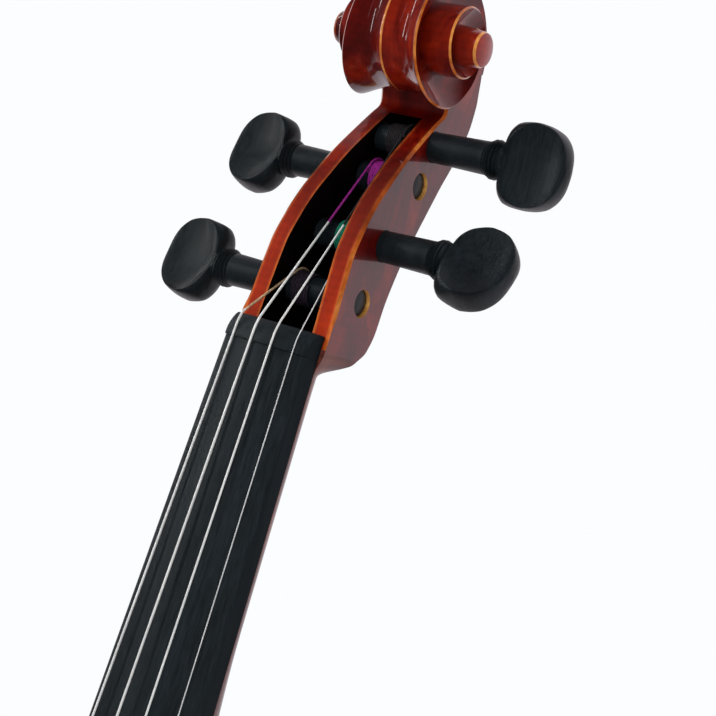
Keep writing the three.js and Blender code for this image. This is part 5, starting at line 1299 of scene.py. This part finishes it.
bridge = {"half": 20.5, "foot": 4.4, "top": 1.6, "base": -16.0, "height": 32.505, "toe": 1.5, "soft": 0.25}
# shares of half width and height: from the toe up the right flank, the arch between the feet, half the heart
bridgeSide = [[1, 0.08], [0.82, 0.15], [0.74, 0.27], [0.86, 0.34], [0.93, 0.4], [0.74, 0.4], [0.55, 0.36],
              [0.45, 0.43], [0.5, 0.53], [0.66, 0.55], [0.8, 0.5], [0.97, 0.49], [0.99, 0.6], [0.95, 0.76]]
bridgeArch = [[0, 0.24], [0.2, 0.21], [0.34, 0.13], [0.42, 0.03]]
bridgeHeart = [[0, 0.4], [0.12, 0.5], [0.17, 0.58], [0.12, 0.63], [0.05, 0.62], [0, 0.57]]
bridgeCrown = [[19.43, -43.1], [17.034, -43.48], [5.681, -47.24], [-5.682, -48.15], [-17.04, -45.68],
               [-19.44, -45.0]]


def filledShape(outlines):
    # flat outlines filled by Blender's own curve, so that the second one is a hole in the first
    curve = bpy.data.curves.new("bridgeOutline", "CURVE")
    curve.dimensions = "2D"
    curve.fill_mode = "BOTH"
    curve.extrude = 0.0005
    for points in outlines:
        spline = curve.splines.new("POLY")
        spline.points.add(len(points) - 1)
        ends = np.tile([0, 1], (len(points), 1))
        spline.points.foreach_set("co", np.concatenate([points / 1000, ends], 1).ravel())
        spline.use_cyclic_u = True
    shape = bpy.data.objects.new("bridgeShape", curve)
    bpy.context.scene.collection.objects.link(shape)
    bpy.context.view_layer.update()
    mesh = bpy.data.meshes.new_from_object(shape.evaluated_get(bpy.context.evaluated_depsgraph_get()))
    bpy.data.objects.remove(shape)
    return mesh


def bridgePiece():
    # one flat outline with a heart cut through, thick at the feet and thin at the crown
    base, height = bridge["base"], bridge["height"]

    def sized(shares):
        return np.array(shares, float) * [bridge["half"], -height] + [0, base]

    arch = sized(through(bridgeArch, 22))
    footX = np.linspace(0.42 * bridge["half"], bridge["half"] - 0.3, 20)
    foot = np.stack([footX, bellySkin(footX, body["bridgeAt"] + bridge["toe"]) - 0.05], 1)
    right = np.concatenate([arch[1:], foot, sized([[1.0, 0.045]]), sized(through(bridgeSide, 100))])
    outline = np.concatenate([arch[:1], right, through(bridgeCrown, 60), (right * [-1, 1])[::-1]])
    heart = through(bridgeHeart, 40)
    heart = sized(np.concatenate([heart, (heart * [-1, 1])[::-1][1:-1]]))
    mesh = filledShape([outline, heart])
    points = meshPoints(mesh) * 1000
    share = np.clip((base - points[:, 1]) / height, -0.2, 1)
    thick = bridge["foot"] + (bridge["top"] - bridge["foot"]) * share
    z = body["bridgeAt"] - bridge["top"] / 2 + np.where(points[:, 2] > 0, thick, 0)
    mesh.vertices.foreach_set("co", bodyPlace(points[:, 0], points[:, 1], z).ravel())
    return softPiece("bridgeCut", mesh, bridge["soft"], bareMaple, 2, 60)


def softPiece(name, mesh, width, material, segments=3, sharp=30):
    # a mesh with its edges rounded and one finish all over
    piece = bpy.data.objects.new(name, mesh)
    bpy.context.scene.collection.objects.link(piece)
    tidyMesh(piece, 1e-6)
    softenEdges(piece, width, segments, sharp, 40)
    piece.data.materials.clear()
    piece.data.materials.append(material)
    piece.data.polygons.foreach_set("material_index", np.zeros(len(piece.data.polygons), np.int32))
    return piece


def softNode(name, node, width, material, rider, slot):
    # the node's own form with its edges rounded
    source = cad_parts[node]
    mesh = source.data.copy()
    mesh.transform(source.matrix_world)
    settle(softPiece(name, mesh, width, material), rider, slot, node)


settle(bridgePiece(), "violin", "bare_maple", "bridge")


def tailpiecePiece():
    # sections of a flat underside and an elliptical top, drawn in a little at both ends, with four slots
    ends = np.array([0, 0.3, 0.9, 2, 4, 8])
    upper = tail["low"] + tail["length"]
    z = np.concatenate([tail["low"] + ends, np.linspace(14, 104, 60), upper - ends[3::-1]])
    shrinks = np.ones(len(z))
    shrinks[:4] = [0.9, 0.94, 0.975, 0.99]
    shrinks[-3:] = [0.985, 0.965, 0.93]
    rows = []
    for at, shrink in zip(z, shrinks):
        under, half = tailpieceAt(at)[:2]
        x = half * np.cos(np.linspace(0, math.pi, 61))
        skin = tailpieceTop(x, at)
        x = np.concatenate([[half - 0.5, half], x[1:-1], [-half, 0.5 - half]]) * shrink
        y = np.concatenate([[under, under - 0.5], skin[1:-1], [under - 0.5, under]])
        rows.append(bodyPlace(x, under + (y - under) * shrink, at))
    piece = loftPiece("tailpieceEbony", np.array(rows), restEbony)
    for string in stringSet.values():
        x, low, half = string["tail"], tail["fret"] - tail["slotLength"], tail["slotHalf"]
        corners = [[x - half, low], [x + half, low], [x + half, tail["fret"]], [x - half, tail["fret"]]]
        top, bottom = tail["cut"]
        slot = prismPiece("slot", corners, top, bottom, restEbony)
        hole = ringOutline(x, low, tail["keyhole"])
        keyhole = prismPiece("keyhole", hole, top + 1, bottom - 1, restEbony)
        combine(slot, [keyhole], "UNION")
        combine(piece, [slot], "DIFFERENCE")
    return piece


settle(tailpiecePiece(), "violin", "ebony", "tailpiece")
# along the strings and above the tailpiece
fretProfile = [[-0.9, 1.0], [-0.75, 1.35], [-0.35, 1.6], [0.35, 1.6], [0.75, 1.35], [0.9, 1.0]]


def fretPiece():
    # a rounded ridge that follows the tailpiece's top from side to side
    half = float(tailpieceAt(tail["fret"])[1]) * 0.88
    x = np.linspace(-half, half, 41)
    top = tailpieceTop(x, tail["fret"])
    rows = []
    for at, rise in fretProfile:
        y = np.concatenate([top - rise, (top + 0.4)[::-1]])
        rows.append(bodyPlace(np.concatenate([x, x[::-1]]), y, tail["fret"] + at))
    return loftPiece("tailpieceFret", np.array(rows), restEbony)


settle(fretPiece(), "violin", "ebony", "tailpiece_fret")
softNode("saddleBar", "saddle", 0.8, restEbony, "violin", "ebony")
# radius and way in from the rib at the bottom
endProfile = [[0, -12.1], [3.5, -12.0], [5.6, -11.6], [6.6, -10.8], [7.0, -9.6], [7.0, -4.2], [6.7, -3.2],
              [5.4, -2.7], [4.7, -2.4], [4.6, -0.8], [4.75, 0.2], [5.2, 0.8], [5.6, 1.5], [5.6, 2.45],
              [3.9, 2.5], [3.4, 17.6], [0, 17.8]]
endButton = lathePiece("endPin", endProfile, (0, body["rib"] / 2, 0), "z", restEbony)
settle(endButton, "violin", "ebony", "end_button")
gut = {"radius": 0.85, "loop": 5.75, "low": -1.3,
       "side": [[5.6, -12.2, 7.6], [5.6, -10.5, 0], [5.6, -9.4, -1.15], [5.6, -8.15, -1.6], [5.6, -3, -1.3],
                [5.68, 6.2, -1.3]]}


def gutPiece():
    # down on one side, half round the end button and up on the other side, as one bent rod
    bend = np.arange(25) * math.pi / 24
    side, r = np.array(gut["side"]), gut["loop"]
    loop = np.stack([r * np.cos(bend), body["rib"] / 2 + r * np.sin(bend), gut["low"] + 0 * bend], 1)
    path = rounded(np.concatenate([side, loop, (side * [-1, 1, 1])[::-1]]), 1.2)
    return tubePiece("tailGut", bodyPlace(*path.T), gut["radius"] / 1000, 16, gutNylon)


settle(gutPiece(), "violin", "tailgut_nylon", "tailgut")
softNode("tunerBracket", "tuner_bracket", 0.35, platedSteel, "violin", "plated_steel")
softNode("tunerLever", "tuner_lever", 0.2, platedSteel, "fine_tuner_lever", "plated_steel")
screw = {"shank": 1.0, "head": 3.55, "headLength": 4.25, "teeth": 24, "tooth": 0.045, "slotHalf": 0.3,
         "slotDeep": 0.7}


def tunerScrewPiece():
    # a milled head on a thin shank: the head's radius steps in and out four points at a time
    low, high = nodeReach("tuner_screw")
    middle, foot, top = (low + high) / 2, high[1], low[1]
    r, thin, shoulder = screw["head"], screw["shank"], top + screw["headLength"]
    profile = np.array([[0, foot], [thin - 0.1, foot], [thin, foot - 0.3], [thin, shoulder],
                        [r - 0.35, shoulder - 0.05], [r, top + 3.9], [r, top + 0.9], [r - 0.25, top + 0.35],
                        [2.6, top + 0.02], [2.2, top], [0, top]])
    steps = 4 * screw["teeth"]
    turn = 2 * math.pi * np.arange(steps) / steps
    milled = 1 - screw["tooth"] * (np.arange(steps) % 4 < 2) * (profile[:, 0, None] > r - 0.15)
    radius = profile[:, 0, None] * milled
    x, z, half = middle[0], middle[2], screw["slotHalf"]
    grid = bodyPlace(x + radius * np.cos(turn), profile[:, 1, None], z + radius * np.sin(turn))
    piece = loftPiece("tunerScrew", grid, platedSteel, angle=30)
    slot = boxPiece("slot", (x - 3.7, top - 1, z - half), (x + 3.7, top + screw["slotDeep"], z + half))
    combine(piece, [slot], "DIFFERENCE")
    return piece


settle(tunerScrewPiece(), "fine_tuner_screw", "plated_steel", "tuner_screw")
print("bridge and tailpiece are in place")


# Chin rest

chin = {"x": -60, "y": -20, "z": 27, "halfWidth": 38, "halfHeight": 33, "thick": 5, "dish": 6, "skew": 0.08,
        "boss": -19.9, "bossLow": -3.2, "soft": 1.5}
# shares of size, thickness and dish, from the middle of the underside over the rim to the middle of the dish
chinRings = [[0, 0, -0.36], [0.35, 0, -0.33], [0.7, 0, -0.22], [0.88, 0.02, -0.08], [0.95, 0.1, 0],
             [0.985, 0.28, 0], [1, 0.5, 0], [0.992, 0.74, 0.01], [0.965, 0.93, 0.03], [0.93, 1, 0.02],
             [0.87, 1, -0.12], [0.78, 1, -0.45], [0.66, 1, -0.72], [0.5, 1, -0.9], [0.3, 1, -1],
             [0.12, 1, -1.03], [0, 1, -1.03]]


def chinPlatePiece():
    # rings of a skewed ellipse: x = cos (1 + skew sin 2), z = sin, each ring with its own size and height
    turn = 2 * math.pi * np.arange(120) / 120
    a, b = np.cos(turn) * (1 + chin["skew"] * np.sin(2 * turn)), np.sin(turn)
    rings = through(chinRings, 65)
    rings[:, 0] = np.clip(rings[:, 0], 0, 1)
    size, thick, dish = (rings[:, k, None] for k in range(3))
    y = chin["y"] - thick * chin["thick"] - dish * chin["dish"]
    grid = bodyPlace(chin["x"] + size * chin["halfWidth"] * a, y, chin["z"] + size * chin["halfHeight"] * b)
    return loftPiece("chinPlate", grid, restEbony)


def chinRestPiece():
    # the dish and the boss under it that stands on the cork
    piece = chinPlatePiece()
    low, high = nodeReach("chinrest_cork")
    near, far = (low[0] + 0.1, chin["boss"], chin["bossLow"]), (high[0] - 0.1, low[1] - 0.06, high[2])
    boss = boxPiece("boss", near, far, restEbony)
    softenEdges(boss, chin["soft"], 4)
    combine(piece, [boss], "UNION")
    return piece


settle(chinRestPiece(), "violin", "ebony", "chinrest_plate")
softNode("chinCork", "chinrest_cork", 0.3, corkPad, "violin", "cork")
softNode("clampCork", "clamp_cork", 0.3, corkPad, "clamp_foot", "cork")
softNode("clampUpper", "clamp_bracket_upper", 0.7, platedSteel, "violin", "plated_steel")
clamp = {"low": (-63.4, -8.68), "high": (-26.6, 24.35), "corner": 4.5, "top": 39.9, "bottom": 43.33,
         "soft": 0.7, "windowLow": (-54.5, -0.5), "windowHigh": (-35.5, 12.2), "windowCorner": 3.5,
         "rods": (-60, -30), "rodAt": -5.3, "rodTop": 17.5, "rodEnd": 41.5, "rodRadius": 1.7,
         "cut": (35, 48)}
# a turned sleeve: radius and way from its middle, over one end and its groove
barrelEnd = [[2.05, 10], [2.9, 10], [3.25, 9.7], [3.3, 9.3], [3.3, 7.6], [3.05, 7.4], [3.05, 7.0], [3.3, 6.8]]
barrel = {"bore": [[2.0, 9.9], [2.0, -9.9]], "pin": 0.85, "sides": 64}


def roundedBox(low, high, radius):
    # a rectangle's outline: four quarter circles, one round each corner's own centre
    bend = np.linspace(0, math.pi / 2, 9)
    (x0, z0), (x1, z1) = np.add(low, radius), np.subtract(high, radius)
    out = []
    for quarter, (x, z) in enumerate([(x1, z1), (x0, z1), (x0, z0), (x1, z0)]):
        angle = bend + quarter * math.pi / 2
        out.append(np.stack([x + radius * np.cos(angle), z + radius * np.sin(angle)], 1))
    return np.concatenate(out)


def clampFootPiece():
    # a plate with a window between its two arms, hung on two rods
    outline = roundedBox(clamp["low"], clamp["high"], clamp["corner"])
    plate = prismPiece("clampLower", outline, clamp["top"], clamp["bottom"], platedSteel)
    outline = roundedBox(clamp["windowLow"], clamp["windowHigh"], clamp["windowCorner"])
    combine(plate, [prismPiece("window", outline, *clamp["cut"], platedSteel)], "DIFFERENCE")
    softenEdges(plate, clamp["soft"], 3, 50)
    r, top, end = clamp["rodRadius"], clamp["rodTop"], clamp["rodEnd"]
    for x in clamp["rods"]:
        profile = [[0, top], [r - 0.4, top], [r, top + 0.4], [r, end], [0, end]]
        combine(plate, [lathePiece("rod", profile, (x, 0, clamp["rodAt"]), "y", platedSteel, 32)], "UNION")
    return plate


settle(clampFootPiece(), "clamp_foot", "plated_steel", "clamp_bracket_lower")


def barrelPiece(node, name):
    # a turned sleeve with two grooves, bored through, and a cross hole for the key
    low, high = nodeReach(node)
    middle = (low + high) / 2
    profile = np.array([[r, -h] for r, h in barrelEnd] + barrelEnd[::-1] + barrel["bore"])
    sides, rows = barrel["sides"], len(profile)
    turn = 2 * math.pi * np.arange(sides) / sides
    x = middle[0] + profile[:, 0, None] * np.cos(turn)
    z = middle[2] + profile[:, 0, None] * np.sin(turn)
    faces = gridFaces(rows, sides)
    closing = np.stack([faces[-sides:, 3], faces[-sides:, 2], faces[:sides, 1], faces[:sides, 0]], 1)
    grid = bodyPlace(x, middle[1] + profile[:, 1, None], z)
    piece = makePiece(name, grid, np.concatenate([faces, closing]), platedSteel, angle=30)
    hole = [[0, -5], [barrel["pin"], -5], [barrel["pin"], 5], [0, 5]]
    combine(piece, [lathePiece("pin", hole, middle, "x", platedSteel, 24)], "DIFFERENCE")
    return piece


for node, end in (("clamp_barrel_1", "bass"), ("clamp_barrel_2", "treble")):
    settle(barrelPiece(node, "clampBarrel" + end.capitalize()), "clamp_barrel_" + end, "plated_steel", node)
print("chin rest is clamped on")

# pieces inside the body keep their form and take bare wood; the corner blocks' ends show and are varnished
insidePieces = ("lining_", "upper_block", "lower_block", "bass_bar", "sound_post", "corner_block_")
for name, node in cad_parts.items():
    if name.startswith(insidePieces):
        node.data.materials.clear()
        node.data.materials.append(ribVarnish if name.startswith("corner_block_") else bareSpruce)
